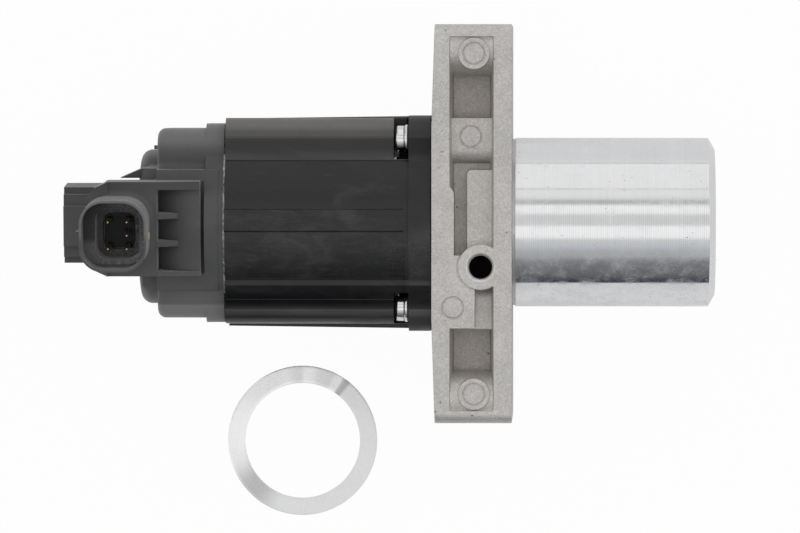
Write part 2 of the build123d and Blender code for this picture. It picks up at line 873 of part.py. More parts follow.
with BuildPart() as motor_magnets:
    with BuildSketch(Plane.XZ):
        with Locations((core_middle_x, (magnet_inner_radius + yoke_inner_radius) / 2)):
            Rectangle(core_length + 2 * magnet_overhang, magnet_thickness)
    revolve(axis=Axis.X, revolution_arc=magnet_angle)
magnet_ring = Compound(children=[
    motor_magnets.part.rotate(Axis.X, 360 / magnet_count * k) for k in range(magnet_count)
])
save(magnet_ring, "motor_magnets")

# Bearing plate that centres the front bearing and keys the drive screw
with BuildPart() as bearing_plate:
    revolve(turned(
        (cavity_floor_x, 0), (cavity_floor_x, yoke_outer_radius), (bearing_right_x, yoke_outer_radius),
        (bearing_right_x, bearing_radius + bearing_cup),
        (bearing_left_x + bearing_cup_setback, bearing_radius + bearing_cup),
        (bearing_left_x + bearing_cup_setback, bearing_radius), (bearing_right_x, bearing_radius),
        (bearing_right_x, 0),
    ), axis=Axis.X)
    with BuildSketch(across(bearing_right_x)):
        Circle(thread_radius + running_clearance)
        with Locations((0, drive_flat + flat_clearance + thread_radius)):
            Rectangle(4 * thread_radius, 2 * thread_radius, mode=Mode.SUBTRACT)
    extrude(amount=bearing_plate_thickness, mode=Mode.SUBTRACT)
save(bearing_plate.part, "bearing_plate")

# Front ball bearing
pitch_radius = (bearing_radius + nut_radius) / 2
bearing_middle_x = (bearing_left_x + bearing_right_x) / 2
with BuildPart() as front_bearing_outer:
    revolve(ring_outline(
        bearing_left_x, bearing_right_x, bearing_radius - race_thickness, bearing_radius,
    ), axis=Axis.X)
    with BuildSketch(Plane.XZ):
        with Locations((bearing_middle_x, pitch_radius)):
            Circle(ball_radius + race_gap)
    revolve(axis=Axis.X, mode=Mode.SUBTRACT)
save(front_bearing_outer.part, "front_bearing_outer")

with BuildPart() as front_bearing_inner:
    revolve(ring_outline(
        bearing_left_x, bearing_right_x, nut_radius, nut_radius + race_thickness,
    ), axis=Axis.X)
    with BuildSketch(Plane.XZ):
        with Locations((bearing_middle_x, pitch_radius)):
            Circle(ball_radius + race_gap)
    revolve(axis=Axis.X, mode=Mode.SUBTRACT)
save(front_bearing_inner.part, "front_bearing_inner")

ball_angles = [2 * pi * k / ball_count for k in range(ball_count)]
with BuildPart() as front_bearing_balls:
    with Locations(*[
        (bearing_middle_x, pitch_radius * cos(angle), pitch_radius * sin(angle)) for angle in ball_angles
    ]):
        Sphere(ball_radius)
save(front_bearing_balls.part, "front_bearing_balls")

with BuildPart() as front_bearing_cage:
    revolve(ring_outline(
        bearing_middle_x - ball_radius - cage_edge, bearing_middle_x + ball_radius + cage_edge,
        pitch_radius - cage_thickness / 2, pitch_radius + cage_thickness / 2,
    ), axis=Axis.X)
    for angle in ball_angles:
        with BuildSketch(Plane(
            origin=(bearing_middle_x, 0, 0), x_dir=(1, 0, 0), z_dir=(0, cos(angle), sin(angle)),
        )):
            Circle(ball_radius + cage_gap)
        extrude(amount=bearing_radius, mode=Mode.SUBTRACT)
save(front_bearing_cage.part, "front_bearing_cage")

# Nut sleeve at the heart of the rotor
with BuildPart() as drive_nut:
    revolve(turned(
        (bearing_right_x - nut_end_gap, thread_radius + thread_gap),
        (bearing_right_x - nut_end_gap, nut_radius),
        (bearing_left_x, nut_radius), (bearing_left_x, nut_shoulder_radius),
        (commutator_left_x, nut_shoulder_radius), (commutator_left_x, nut_radius),
        (nut_left_x, nut_radius), (nut_left_x, thread_radius + thread_gap),
    ), axis=Axis.X)
save(drive_nut.part, "drive_nut")

# Slotted rotor core
with BuildPart() as rotor_core:
    revolve(ring_outline(core_left_x, core_right_x, nut_shoulder_radius, core_radius), axis=Axis.X)
    with BuildSketch(across(core_left_x)):
        with PolarLocations(0, tooth_count, start_angle=180 / tooth_count):
            with BuildLine():
                inner_half = core_hub_radius * sin(pi / tooth_count) - tooth_width / 2
                outer_x = core_radius - tooth_tip
                outer_half = outer_x * sin(pi / tooth_count) - tooth_width / 2
                Polyline(
                    (core_hub_radius, -inner_half), (core_hub_radius, inner_half),
                    (outer_x, outer_half), (outer_x + slot_shoulder, slot_opening / 2),
                    (core_radius + tooth_tip, slot_opening / 2), (core_radius + tooth_tip, -slot_opening / 2),
                    (outer_x + slot_shoulder, -slot_opening / 2), (outer_x, -outer_half), close=True,
                )
            make_face()
    extrude(amount=core_length, mode=Mode.SUBTRACT)
save(rotor_core.part, "rotor_core")

# Windings: a bundle in every slot and an end turn ring at both ends
with BuildPart() as rotor_windings:
    with BuildSketch(across(core_left_x)):
        with PolarLocations(0, tooth_count, start_angle=180 / tooth_count):
            with BuildLine():
                inner_half = core_hub_radius * sin(pi / tooth_count) - tooth_width / 2 - bundle_gap
                outer_x = core_radius - tooth_tip - bundle_gap
                outer_half = outer_x * sin(pi / tooth_count) - tooth_width / 2 - bundle_gap
                Polyline(
                    (core_hub_radius + bundle_gap, -inner_half), (core_hub_radius + bundle_gap, inner_half),
                    (outer_x, outer_half), (outer_x, -outer_half), close=True,
                )
            make_face()
    extrude(amount=core_length)
    for near_x, far_x in ((core_right_x, core_right_x + winding_overhang), (rear_winding_x, core_left_x)):
        revolve(ring_outline(
            near_x, far_x, nut_shoulder_radius + winding_inner_gap,
            core_radius - tooth_tip - winding_outer_gap,
        ), axis=Axis.X)
save(rotor_windings.part, "rotor_windings")

# Commutator, with a slit between each bar and the next
with BuildPart() as commutator:
    revolve(ring_outline(
        commutator_left_x, commutator_right_x, nut_shoulder_radius, commutator_radius,
    ), axis=Axis.X)
    with BuildSketch(across(commutator_left_x)):
        with PolarLocations(commutator_radius, commutator_bars):
            Rectangle(2 * commutator_slit_depth, commutator_slit)
    extrude(amount=commutator_length, mode=Mode.SUBTRACT)
save(commutator.part, "commutator")

# Rear bush and the brush plate that carries it
with BuildPart() as rear_bush:
    revolve(ring_outline(
        brush_plate_left_x - rear_bush_collar, brush_plate_right_x, nut_radius + running_clearance,
        rear_bush_radius,
    ), axis=Axis.X)
save(rear_bush.part, "rear_bush")

holder_radius = commutator_radius + holder_gap
with BuildPart() as brush_plate:
    with BuildSketch(across(brush_plate_left_x)):
        Circle(yoke_outer_radius)
        Circle(rear_bush_radius, mode=Mode.SUBTRACT)
    extrude(amount=brush_plate_thickness)
    with BuildSketch(across(brush_plate_right_x)):
        with Locations(*[(side * (holder_radius + brush_length / 2 + holder_wall), 0) for side in (1, -1)]):
            Rectangle(brush_length + 2 * holder_wall, brush_width + 2 * holder_wall)
    extrude(amount=brush_height + 2 * holder_wall)
    with BuildSketch(across(brush_plate_right_x + holder_wall)):
        with Locations(*[(side * (holder_radius + brush_length / 2), 0) for side in (1, -1)]):
            Rectangle(brush_length + holder_wall, brush_width + 2 * brush_side_gap)
    extrude(amount=brush_height, mode=Mode.SUBTRACT)
save(brush_plate.part, "brush_plate")

with BuildPart() as carbon_brushes:
    with BuildSketch(across(brush_plate_right_x + holder_wall)):
        with Locations(*[(side * (commutator_radius + brush_length / 2), 0) for side in (1, -1)]):
            Rectangle(brush_length, brush_width)
    extrude(amount=brush_height)
    with BuildSketch(across(brush_plate_right_x + holder_wall)):
        Circle(commutator_radius + running_clearance)
    extrude(amount=brush_height, mode=Mode.SUBTRACT)
save(carbon_brushes.part, "carbon_brushes")

# Drive screw with the flat that stops it from turning
with BuildPart() as drive_screw:
    revolve(turned(
        (drive_screw_end_x, 0), (drive_screw_end_x, thread_radius - screw_end_chamfer),
        (drive_screw_end_x + screw_end_chamfer, thread_radius),
        (screw_tip_x - screw_tip_chamfer, thread_radius),
        (screw_tip_x, thread_radius - screw_tip_chamfer), (screw_tip_x, 0),
    ), axis=Axis.X)
    with BuildSketch(across(screw_tip_x)):
        with Locations((0, drive_flat + thread_radius)):
            Rectangle(4 * thread_radius, 2 * thread_radius)
    extrude(amount=-(bearing_plate_thickness + valve_travel + drive_flat_spare), mode=Mode.SUBTRACT)
save(drive_screw.part, "drive_screw")

# End cap: ring, can, crown, brow, dome, sensor stub, tower and connector in one moulding
with BuildPart() as brow:
    with BuildSketch(above(brow_foot)):
        with Locations(((brow_left_x + cap_inner_x) / 2, 0)):
            RectangleRounded(cap_inner_x - brow_left_x, 2 * crown_half_width, brow_corner)
    extrude(amount=ring_radius - brow_foot)
    with BuildSketch(clocked(cap_inner_x)):
        Circle(ring_radius - brow_drop)
    extrude(amount=brow_left_x - cap_inner_x, mode=Mode.INTERSECT)

with BuildPart() as dome:
    with BuildSketch(clocked(cap_inner_x)):
        with Locations((dome_y, 0)):
            Circle(dome_radius)
    extrude(amount=-dome_height - cap_wall)
    fillet(dome.faces().sort_by(Axis.X)[0].edges(), dome_edge)

with BuildPart() as shell_root:
    for k in range(shell_root_steps + 1):
        angle = pi / 2 * k / shell_root_steps
        gap = shell_root_radius * (1 - sin(angle))
        with BuildSketch(above(tower_top + shell_root_radius * (1 - cos(angle)))):
            with Locations((shell_x, shell_y)):
                RectangleRounded(shell_length + 2 * gap, shell_width + 2 * gap, shell_corner + gap)
    loft(ruled=True)
    with BuildSketch(above(tower_top)):
        with Locations(((tower_left + tower_right) / 2, tower_middle_y)):
            RectangleRounded(tower_right - tower_left, tower_width, tower_corner)
    extrude(amount=shell_root_radius, mode=Mode.INTERSECT)

with BuildPart() as end_cap:
    extrude(
        rounded_can(across(cap_face_x), ring_radius, ring_radius, cap_half_height, ring_corner),
        amount=ring_left_x - cap_face_x,
    )
    extrude(
        rounded_can(across(ring_left_x), cap_radius, cap_radius, cap_half_height, cap_corner),
        amount=cap_end_x - ring_left_x,
    )
    fillet(end_cap.faces().sort_by(Axis.X)[0].outer_wire().edges(), cap_edge)
    with BuildSketch(clocked(crown_right_x)):
        Circle(ring_radius + crown_rise)
        with Locations((0, ring_radius)):
            Rectangle(2 * crown_half_width, 2 * ring_radius, mode=Mode.INTERSECT)
    extrude(amount=cap_end_x - crown_right_x)
    add(brow.part)
    add(dome.part)
    with BuildSketch(clocked(cap_inner_x)):
        with Locations((knob_y, knob_z)):
            Circle(knob_radius)
    extrude(amount=-cap_wall - knob_length)
    # Stub over the end of the sensor's plunger
    with BuildSketch(clocked(stub_end_x)):
        with Locations((stub_y, (stub_bottom + stub_shoulder) / 2)):
            Rectangle(2 * stub_half_width, stub_shoulder - stub_bottom)
        with Locations((stub_y, stub_step / 2)):
            Rectangle(2 * stub_step_half_width, stub_step)
        with Locations((stub_y, stub_top / 2)):
            Rectangle(2 * stub_top_half_width, stub_top)
    extrude(amount=stub_length)
    # Tower that carries the connector, and the frame from it to the ring
    with BuildSketch(above(tower_foot)):
        with Locations(((tower_left + tower_right) / 2, tower_middle_y)):
            RectangleRounded(tower_right - tower_left, tower_width - 2 * tower_neck_inset, tower_corner)
    extrude(amount=tower_top - tower_foot)
    with BuildSketch(above(tower_head_foot)):
        with Locations(((tower_left + tower_right) / 2, tower_middle_y)):
            RectangleRounded(tower_right - tower_left, tower_width, tower_corner)
    extrude(amount=tower_top - tower_head_foot)
    with BuildSketch(side_on().offset(-tower_y_high)):
        with BuildLine():
            Polyline(
                (tower_right - tower_corner, frame_foot), (frame_right, frame_foot), (frame_right, frame_top),
                (tower_right - tower_corner, tower_top), close=True,
            )
        make_face()
    extrude(amount=tower_width)
    with BuildSketch(side_on().offset(frame_wall_high - tower_y_high)):
        with BuildLine():
            Line((tower_right, tower_top), (tower_right, scoop_deep))
            SagittaArc((tower_right, scoop_deep), (frame_right, scoop_shallow), scoop_bulge)
            Line((frame_right, scoop_shallow), (frame_right, tower_top))
            Line((frame_right, tower_top), (tower_right, tower_top))
        make_face()
    extrude(amount=tower_width - frame_wall_high - frame_wall_low, mode=Mode.SUBTRACT)
    with BuildSketch(above(ring_radius - frame_groove_depth)):
        with Locations((frame_right + frame_groove_width / 2, tower_middle_y)):
            Rectangle(frame_groove_width, tower_width)
    extrude(amount=tower_top - ring_radius + frame_groove_depth, mode=Mode.SUBTRACT)
    for row in (rib_y - rib_spacing / 2, rib_y + rib_spacing / 2):
        with BuildSketch(side_on().offset(-row - rib_width / 2)):
            with BuildLine():
                Polyline(
                    (tower_right, scoop_deep - rib_root), (tower_right + rib_length, scoop_deep - rib_root),
                    (tower_right + rib_length, scoop_shallow - rib_root),
                    (tower_right, tower_top - rib_top_drop), close=True,
                )
            make_face()
        extrude(amount=rib_width)
    with BuildSketch(above(gusset_foot)):
        with BuildLine():
            Polyline(
                (brow_left_x - gusset_reach, tower_y_high), (brow_left_x, crown_half_width),
                (cap_end_x, crown_half_width), (cap_end_x, tower_y_high), close=True,
            )
        make_face()
    extrude(amount=gusset_top - gusset_foot)
    # Connector shell with its guard wings and the nub of its latch
    with BuildSketch(above(shell_foot)):
        with Locations((shell_x + shell_corner / 2, shell_y)):
            RectangleRounded(shell_length - shell_corner, shell_width - shell_corner, shell_corner / 2)
    with BuildSketch(above(shell_bottom)):
        with Locations((shell_x, shell_y)):
            RectangleRounded(shell_length, shell_width, shell_corner)
    loft()
    with BuildSketch(above(shell_bottom)):
        with Locations((shell_x, shell_y)):
            RectangleRounded(shell_length, shell_width, shell_corner)
    extrude(amount=shell_top - shell_bottom)
    add(shell_root.part)
    with BuildSketch(above(wing_bottom)):
        for side, edge_y in ((1, tower_y_high), (-1, tower_y_low)):
            with BuildLine():
                inner_y = edge_y - side * (wing_length + wing_thickness)
                Polyline(
                    (tower_left + tower_corner, edge_y),
                    (tower_left - wing_length / 2, edge_y - side * wing_length / 3),
                    (tower_left - wing_length, edge_y - side * wing_length),
                    (tower_left - wing_length + wing_thickness, inner_y),
                    (tower_left + tower_corner, inner_y), close=True,
                )
            make_face()
    extrude(amount=wing_top - wing_bottom)
    with BuildSketch(above(shell_top - latch_drop)):
        with Locations((shell_left_x, shell_y)):
            Rectangle(2 * latch_reach, latch_width)
    extrude(amount=-latch_height)
    with BuildSketch(above(shell_top)):
        with Locations((shell_x, shell_y)):
            RectangleRounded(
                shell_length - 2 * shell_wall, shell_width - 2 * shell_wall, shell_corner - shell_wall,
            )
    extrude(amount=shell_ledge - shell_top, mode=Mode.SUBTRACT)
    with BuildSketch(above(shell_ledge)):
        with Locations((insert_x, shell_y)):
            RectangleRounded(floor_length, floor_width, floor_corner)
    extrude(amount=shell_floor - shell_ledge, mode=Mode.SUBTRACT)
    with BuildSketch(above(shell_floor)):
        with Locations((insert_x, 0)):
            Rectangle(insert_length, insert_width)
    extrude(amount=-insert_depth, mode=Mode.SUBTRACT)
    with BuildSketch(above(shell_floor - insert_depth)):
        with Locations(*pin_spots):
            Rectangle(socket_size, socket_size)
    extrude(amount=-socket_depth, mode=Mode.SUBTRACT)
    # Inside: the cavity, the plunger's guide tube and bore, the board's pocket and the pins' slots
    with BuildSketch(clocked(cap_face_x)):
        Circle(cap_cavity_radius)
    extrude(amount=cap_mouth_end - cap_face_x, mode=Mode.SUBTRACT)
    with BuildSketch(clocked(cap_mouth_end)):
        Circle(cap_room_radius)
    extrude(amount=cap_inner_x - cap_mouth_end, mode=Mode.SUBTRACT)
    revolve(ring_outline(
        cap_inner_x - guide_tube_root, guide_tube_start, plunger_radius, guide_tube_radius,
    ), axis=Axis.X)
    with BuildSketch(clocked(plunger_bore_end)):
        Circle(plunger_radius + plunger_guide_gap)
    extrude(amount=guide_tube_start - plunger_bore_end, mode=Mode.SUBTRACT)
    with BuildSketch(above(board_bottom)):
        with Locations((board_left_x + board_length / 2, 0)):
            Rectangle(board_length, board_width + 2 * board_side_room)
    extrude(amount=board_thickness + board_room_above, mode=Mode.SUBTRACT)
    with BuildSketch(above(board_bottom)):
        with Locations((board_left_x + board_length / 2, 0)):
            Rectangle(board_length, board_width - 2 * board_room_below)
    extrude(amount=-board_room_below, mode=Mode.SUBTRACT)
    with BuildSketch(above(board_top)):
        with Locations(*pin_spots):
            Rectangle(pin_size, pin_size)
    extrude(amount=shell_floor - board_top, mode=Mode.SUBTRACT)
    revolve(ring_outline(
        cap_face_x - cap_spigot_root, seam_x + cap_spigot_length,
        cavity_radius - cap_spigot_gap - cap_spigot_wall, cavity_radius - cap_spigot_gap,
    ), axis=Axis.X)
save(end_cap.part, "end_cap")

# Gasket between the end cap and the housing, with the bead that stands out at the seam
with BuildPart() as cap_gasket:
    revolve(ring_outline(
        cap_face_x, seam_x, ring_radius - gasket_width, ring_radius + gasket_bead,
    ), axis=Axis.X)
save(cap_gasket.part, "cap_gasket")

# Connector pins, which run down to the sensor board
with BuildPart() as connector_pins:
    with BuildSketch(above(board_top)):
        with Locations(*pin_spots):
            Rectangle(pin_size, pin_size)
    extrude(amount=pin_top - pin_tip_length - board_top)
    with BuildSketch(above(pin_top - pin_tip_length)):
        with Locations(*pin_spots):
            Rectangle(pin_size, pin_size)
    extrude(amount=pin_tip_length, taper=pin_tip_taper)
save(connector_pins.part, "connector_pins")

# Sensor board with its chip underneath, over the plunger's magnet
with BuildPart() as sensor_board:
    with BuildSketch(above(board_bottom)):
        with Locations((board_left_x + board_length / 2, 0)):
            Rectangle(board_length, board_width)
    extrude(amount=board_thickness)
save(sensor_board.part, "sensor_board")

with BuildPart() as hall_chip:
    with BuildSketch(above(board_bottom)):
        with Locations((plunger_end_x + magnet_length + chip_length / 2, 0)):
            Rectangle(chip_length, chip_width)
    extrude(amount=-chip_height)
save(hall_chip.part, "hall_chip")

# Two blades that feed the motor, from the cap's inner wall to the brush plate
with BuildPart() as motor_terminals:
    with BuildSketch(clocked(cap_inner_x)):
        with Locations((terminal_spread, terminal_level), (-terminal_spread, terminal_level)):
            Rectangle(terminal_thickness, terminal_width)
    extrude(amount=brush_plate_left_x - cap_inner_x)
save(motor_terminals.part, "motor_terminals")

# Plunger that follows the drive screw, the magnet it carries and the spring behind its head
with BuildPart() as sensor_plunger:
    revolve(turned(
        (plunger_end_x, magnet_radius), (plunger_end_x, plunger_radius - plunger_end_chamfer),
        (plunger_end_x + plunger_end_chamfer, plunger_radius), (plunger_head_x, plunger_radius),
        (plunger_head_x, plunger_head_radius),
        (plunger_face_x, plunger_head_radius), (plunger_face_x, 0), (plunger_end_x + magnet_length, 0),
        (plunger_end_x + magnet_length, magnet_radius),
    ), axis=Axis.X)
save(sensor_plunger.part, "sensor_plunger")

with BuildPart() as plunger_magnet:
    with BuildSketch(across(plunger_end_x)):
        Circle(magnet_radius)
    extrude(amount=magnet_length)
save(plunger_magnet.part, "plunger_magnet")

save(
    coil(guide_tube_start, plunger_head_x, plunger_spring_radius, plunger_spring_wire, plunger_spring_turns),
    "plunger_spring",
)

# Wave spring washer, lying loose beside the valve on what the flange rests on
washer_middle_radius = (washer_outer_radius + washer_inner_radius) / 2
washer_level = -flange_half_width + wave_height + washer_sheet / 2
with BuildPart() as wave_washer:
    for half in (0, 1):
        for k in range(half * wave_steps, (half + 1) * wave_steps + 1):
            angle = pi * k / wave_steps
            with BuildSketch(Plane(
                origin=(washer_x, washer_y, washer_level), x_dir=(cos(angle), sin(angle), 0),
                z_dir=(sin(angle), -cos(angle), 0),
            )):
                with Locations((washer_middle_radius, wave_height * cos(wave_count * angle))):
                    Rectangle(washer_outer_radius - washer_inner_radius, washer_sheet)
        loft()
save(wave_washer.part, "wave_washer")
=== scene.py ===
"""Looks of an exhaust gas recirculation valve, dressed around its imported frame.

The frame gives every piece its place. Its +X runs along the valve to the nose, and its +Z points up from the
floor, the way the connector opens. Meshes are in metres. The sizes written here are in millimetres and the angles
in degrees, unless a name or a note gives another unit.
"""

import json
import logging
import math
from dataclasses import dataclass
from enum import Enum

import bpy
from mathutils import Matrix, Vector

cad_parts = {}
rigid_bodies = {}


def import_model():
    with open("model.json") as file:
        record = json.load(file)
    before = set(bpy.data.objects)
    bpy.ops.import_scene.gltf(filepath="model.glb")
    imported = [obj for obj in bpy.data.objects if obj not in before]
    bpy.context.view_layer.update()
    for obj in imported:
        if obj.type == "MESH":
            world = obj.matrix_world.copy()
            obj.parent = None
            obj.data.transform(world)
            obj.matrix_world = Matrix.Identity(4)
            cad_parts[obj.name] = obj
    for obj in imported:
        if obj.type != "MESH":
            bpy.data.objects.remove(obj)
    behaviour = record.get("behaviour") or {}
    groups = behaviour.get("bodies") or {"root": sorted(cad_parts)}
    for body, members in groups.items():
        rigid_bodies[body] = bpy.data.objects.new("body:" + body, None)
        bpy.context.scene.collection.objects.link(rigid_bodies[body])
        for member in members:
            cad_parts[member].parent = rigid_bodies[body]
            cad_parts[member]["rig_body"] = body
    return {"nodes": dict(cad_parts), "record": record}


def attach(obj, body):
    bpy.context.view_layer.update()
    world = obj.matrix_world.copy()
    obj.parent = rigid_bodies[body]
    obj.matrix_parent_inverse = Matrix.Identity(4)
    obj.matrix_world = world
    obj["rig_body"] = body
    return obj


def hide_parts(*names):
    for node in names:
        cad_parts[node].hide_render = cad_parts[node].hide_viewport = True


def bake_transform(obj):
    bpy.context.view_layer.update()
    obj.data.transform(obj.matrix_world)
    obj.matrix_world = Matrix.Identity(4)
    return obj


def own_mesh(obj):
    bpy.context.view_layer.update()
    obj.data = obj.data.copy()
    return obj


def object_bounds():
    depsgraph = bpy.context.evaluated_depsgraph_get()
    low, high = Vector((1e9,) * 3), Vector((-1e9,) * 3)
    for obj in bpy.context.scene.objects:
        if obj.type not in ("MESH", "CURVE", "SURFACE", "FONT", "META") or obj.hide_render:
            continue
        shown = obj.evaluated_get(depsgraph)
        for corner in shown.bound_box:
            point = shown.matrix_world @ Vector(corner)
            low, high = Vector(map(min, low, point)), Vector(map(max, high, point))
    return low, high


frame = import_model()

Pair = tuple[float, float]
Triple = tuple[float, float, float]
Band = tuple[Pair, Pair]  # where a mask rises and where it falls, as Signal.between takes them

MM = 0.001
MERGE_WITHIN = 0.002  # points of a CAD node that lie as close as this are one
FLAT_WITHIN = 0.4  # its faces that lean less than this are one
WIDEST_FACE = 100  # a face with as many points is cut into triangles, or rounding its edges would cover its holes
SMOOTH_UNDER = 38.0  # edges of a rounded piece that turn more than this are shaded sharp
SHEET_SMOOTH_UNDER = 40.0  # the same for wire and sheet
EVEN_WEIGHT = 60  # how far wide faces steer the shading of the rounded edges beside them
WASHER_CENTRE = (-64.9, -67.9)  # where the loose washer lies
log = logging.getLogger("valve")
cad_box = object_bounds()


class Axis(Enum):
    """The frame's axes, by their place in a vector."""

    X = 0
    Y = 1
    Z = 2


# Node trees


class Signal:
    """One socket of a node tree; Python's operators on it add Math nodes."""

    def __init__(self, tree: bpy.types.NodeTree, socket: bpy.types.NodeSocket | None) -> None:
        """Wraps a socket.

        Args:
            tree: The node tree that the socket is in.
            socket: An output socket, or None at the end of a tree.
        """
        self.tree = tree
        self.socket = socket

    def math(self, operation: str, *others: "Signal | float", first: "Signal | float | None" = None) -> "Signal":
        """Adds a Math node.

        Args:
            operation: The node's operation, such as MULTIPLY.
            others: The inputs after the first one.
            first: The first input, or None for this signal.

        Returns:
            The node's result.
        """
        values = [self if first is None else first, *others]
        return add_node(self.tree, "ShaderNodeMath", {"operation": operation}, dict(enumerate(values)))

    def __add__(self, other: "Signal | float") -> "Signal":
        """This plus other."""
        return self.math("ADD", other)

    __radd__ = __add__

    def __sub__(self, other: "Signal | float") -> "Signal":
        """This minus other."""
        return self.math("SUBTRACT", other)

    def __rsub__(self, other: float) -> "Signal":
        """Other minus this."""
        return self.math("SUBTRACT", self, first=other)

    def __mul__(self, other: "Signal | float") -> "Signal":
        """This times other."""
        return self.math("MULTIPLY", other)

    __rmul__ = __mul__

    def __truediv__(self, other: "Signal | float") -> "Signal":
        """This divided by other."""
        return self.math("DIVIDE", other)

    def __pow__(self, other: float) -> "Signal":
        """This to the power of other."""
        return self.math("POWER", other)

    def clamp(self) -> "Signal":
        """This, held between 0 and 1."""
        return self.math("MAXIMUM", 0.0).math("MINIMUM", 1.0)

    def step(self, low: float, high: float) -> "Signal":
        """A smooth step from 0 at low to 1 at high.

        Args:
            low: The value at which the result is 0.
            high: The value at which the result is 1; it may be under low.

        Returns:
            The stepped signal.
        """
        settings = {"interpolation_type": "SMOOTHSTEP"}
        return add_node(self.tree, "ShaderNodeMapRange", settings, {"Value": self, "From Min": low, "From Max": high})

    def between(self, rise: Pair, fall: Pair) -> "Signal":
        """1 between two smooth steps, and 0 outside them.

        Args:
            rise: The values at its lower end where it is 0 and where it is 1.
            fall: The values at its upper end where it is 0 and where it is 1.

        Returns:
            The mask.
        """
        return self.step(*rise) * self.step(*fall)


def add_node(
    tree: bpy.types.NodeTree, kind: str, settings: dict | None = None, inputs: dict | None = None,
    output: int | str = 0,
) -> Signal:
    """Adds one node of any kind, and is the only place that does.

    Args:
        tree: The tree that gets the node.
        kind: The node's type, such as ShaderNodeTexNoise.
        settings: Attributes that are set before the sockets; "stops" lists a ramp's places, each with a colour
            or with one number for a grey.
        inputs: Socket names or numbers, each with a Signal to link or a value to set.
        output: The name or number of the output that is returned.

    Returns:
        The chosen output, which is empty at the end of a tree.
    """
    node = tree.nodes.new(kind)
    for key, value in (settings or {}).items():
        if key == "stops":
            ramp = node.color_ramp
            while len(ramp.elements) < len(value):
                ramp.elements.new(0.5)
            for element, (place, colour) in zip(ramp.elements, value):
                element.position = place
                element.color = (*colour, 1.0) if isinstance(colour, tuple) else (colour, colour, colour, 1.0)
        else:
            setattr(node, key, value)
    for key, value in (inputs or {}).items():
        if isinstance(value, Signal):
            tree.links.new(value.socket, node.inputs[key])
        elif isinstance(value, tuple) and len(value) == 3 and node.inputs[key].type == "RGBA":
            node.inputs[key].default_value = (*value, 1.0)
        else:
            node.inputs[key].default_value = value
    return Signal(tree, node.outputs[output] if node.outputs else None)


def scaled(colour: Triple, share: float) -> Triple:
    """A colour times a share, which may be over 1."""
    return tuple(share * part for part in colour)


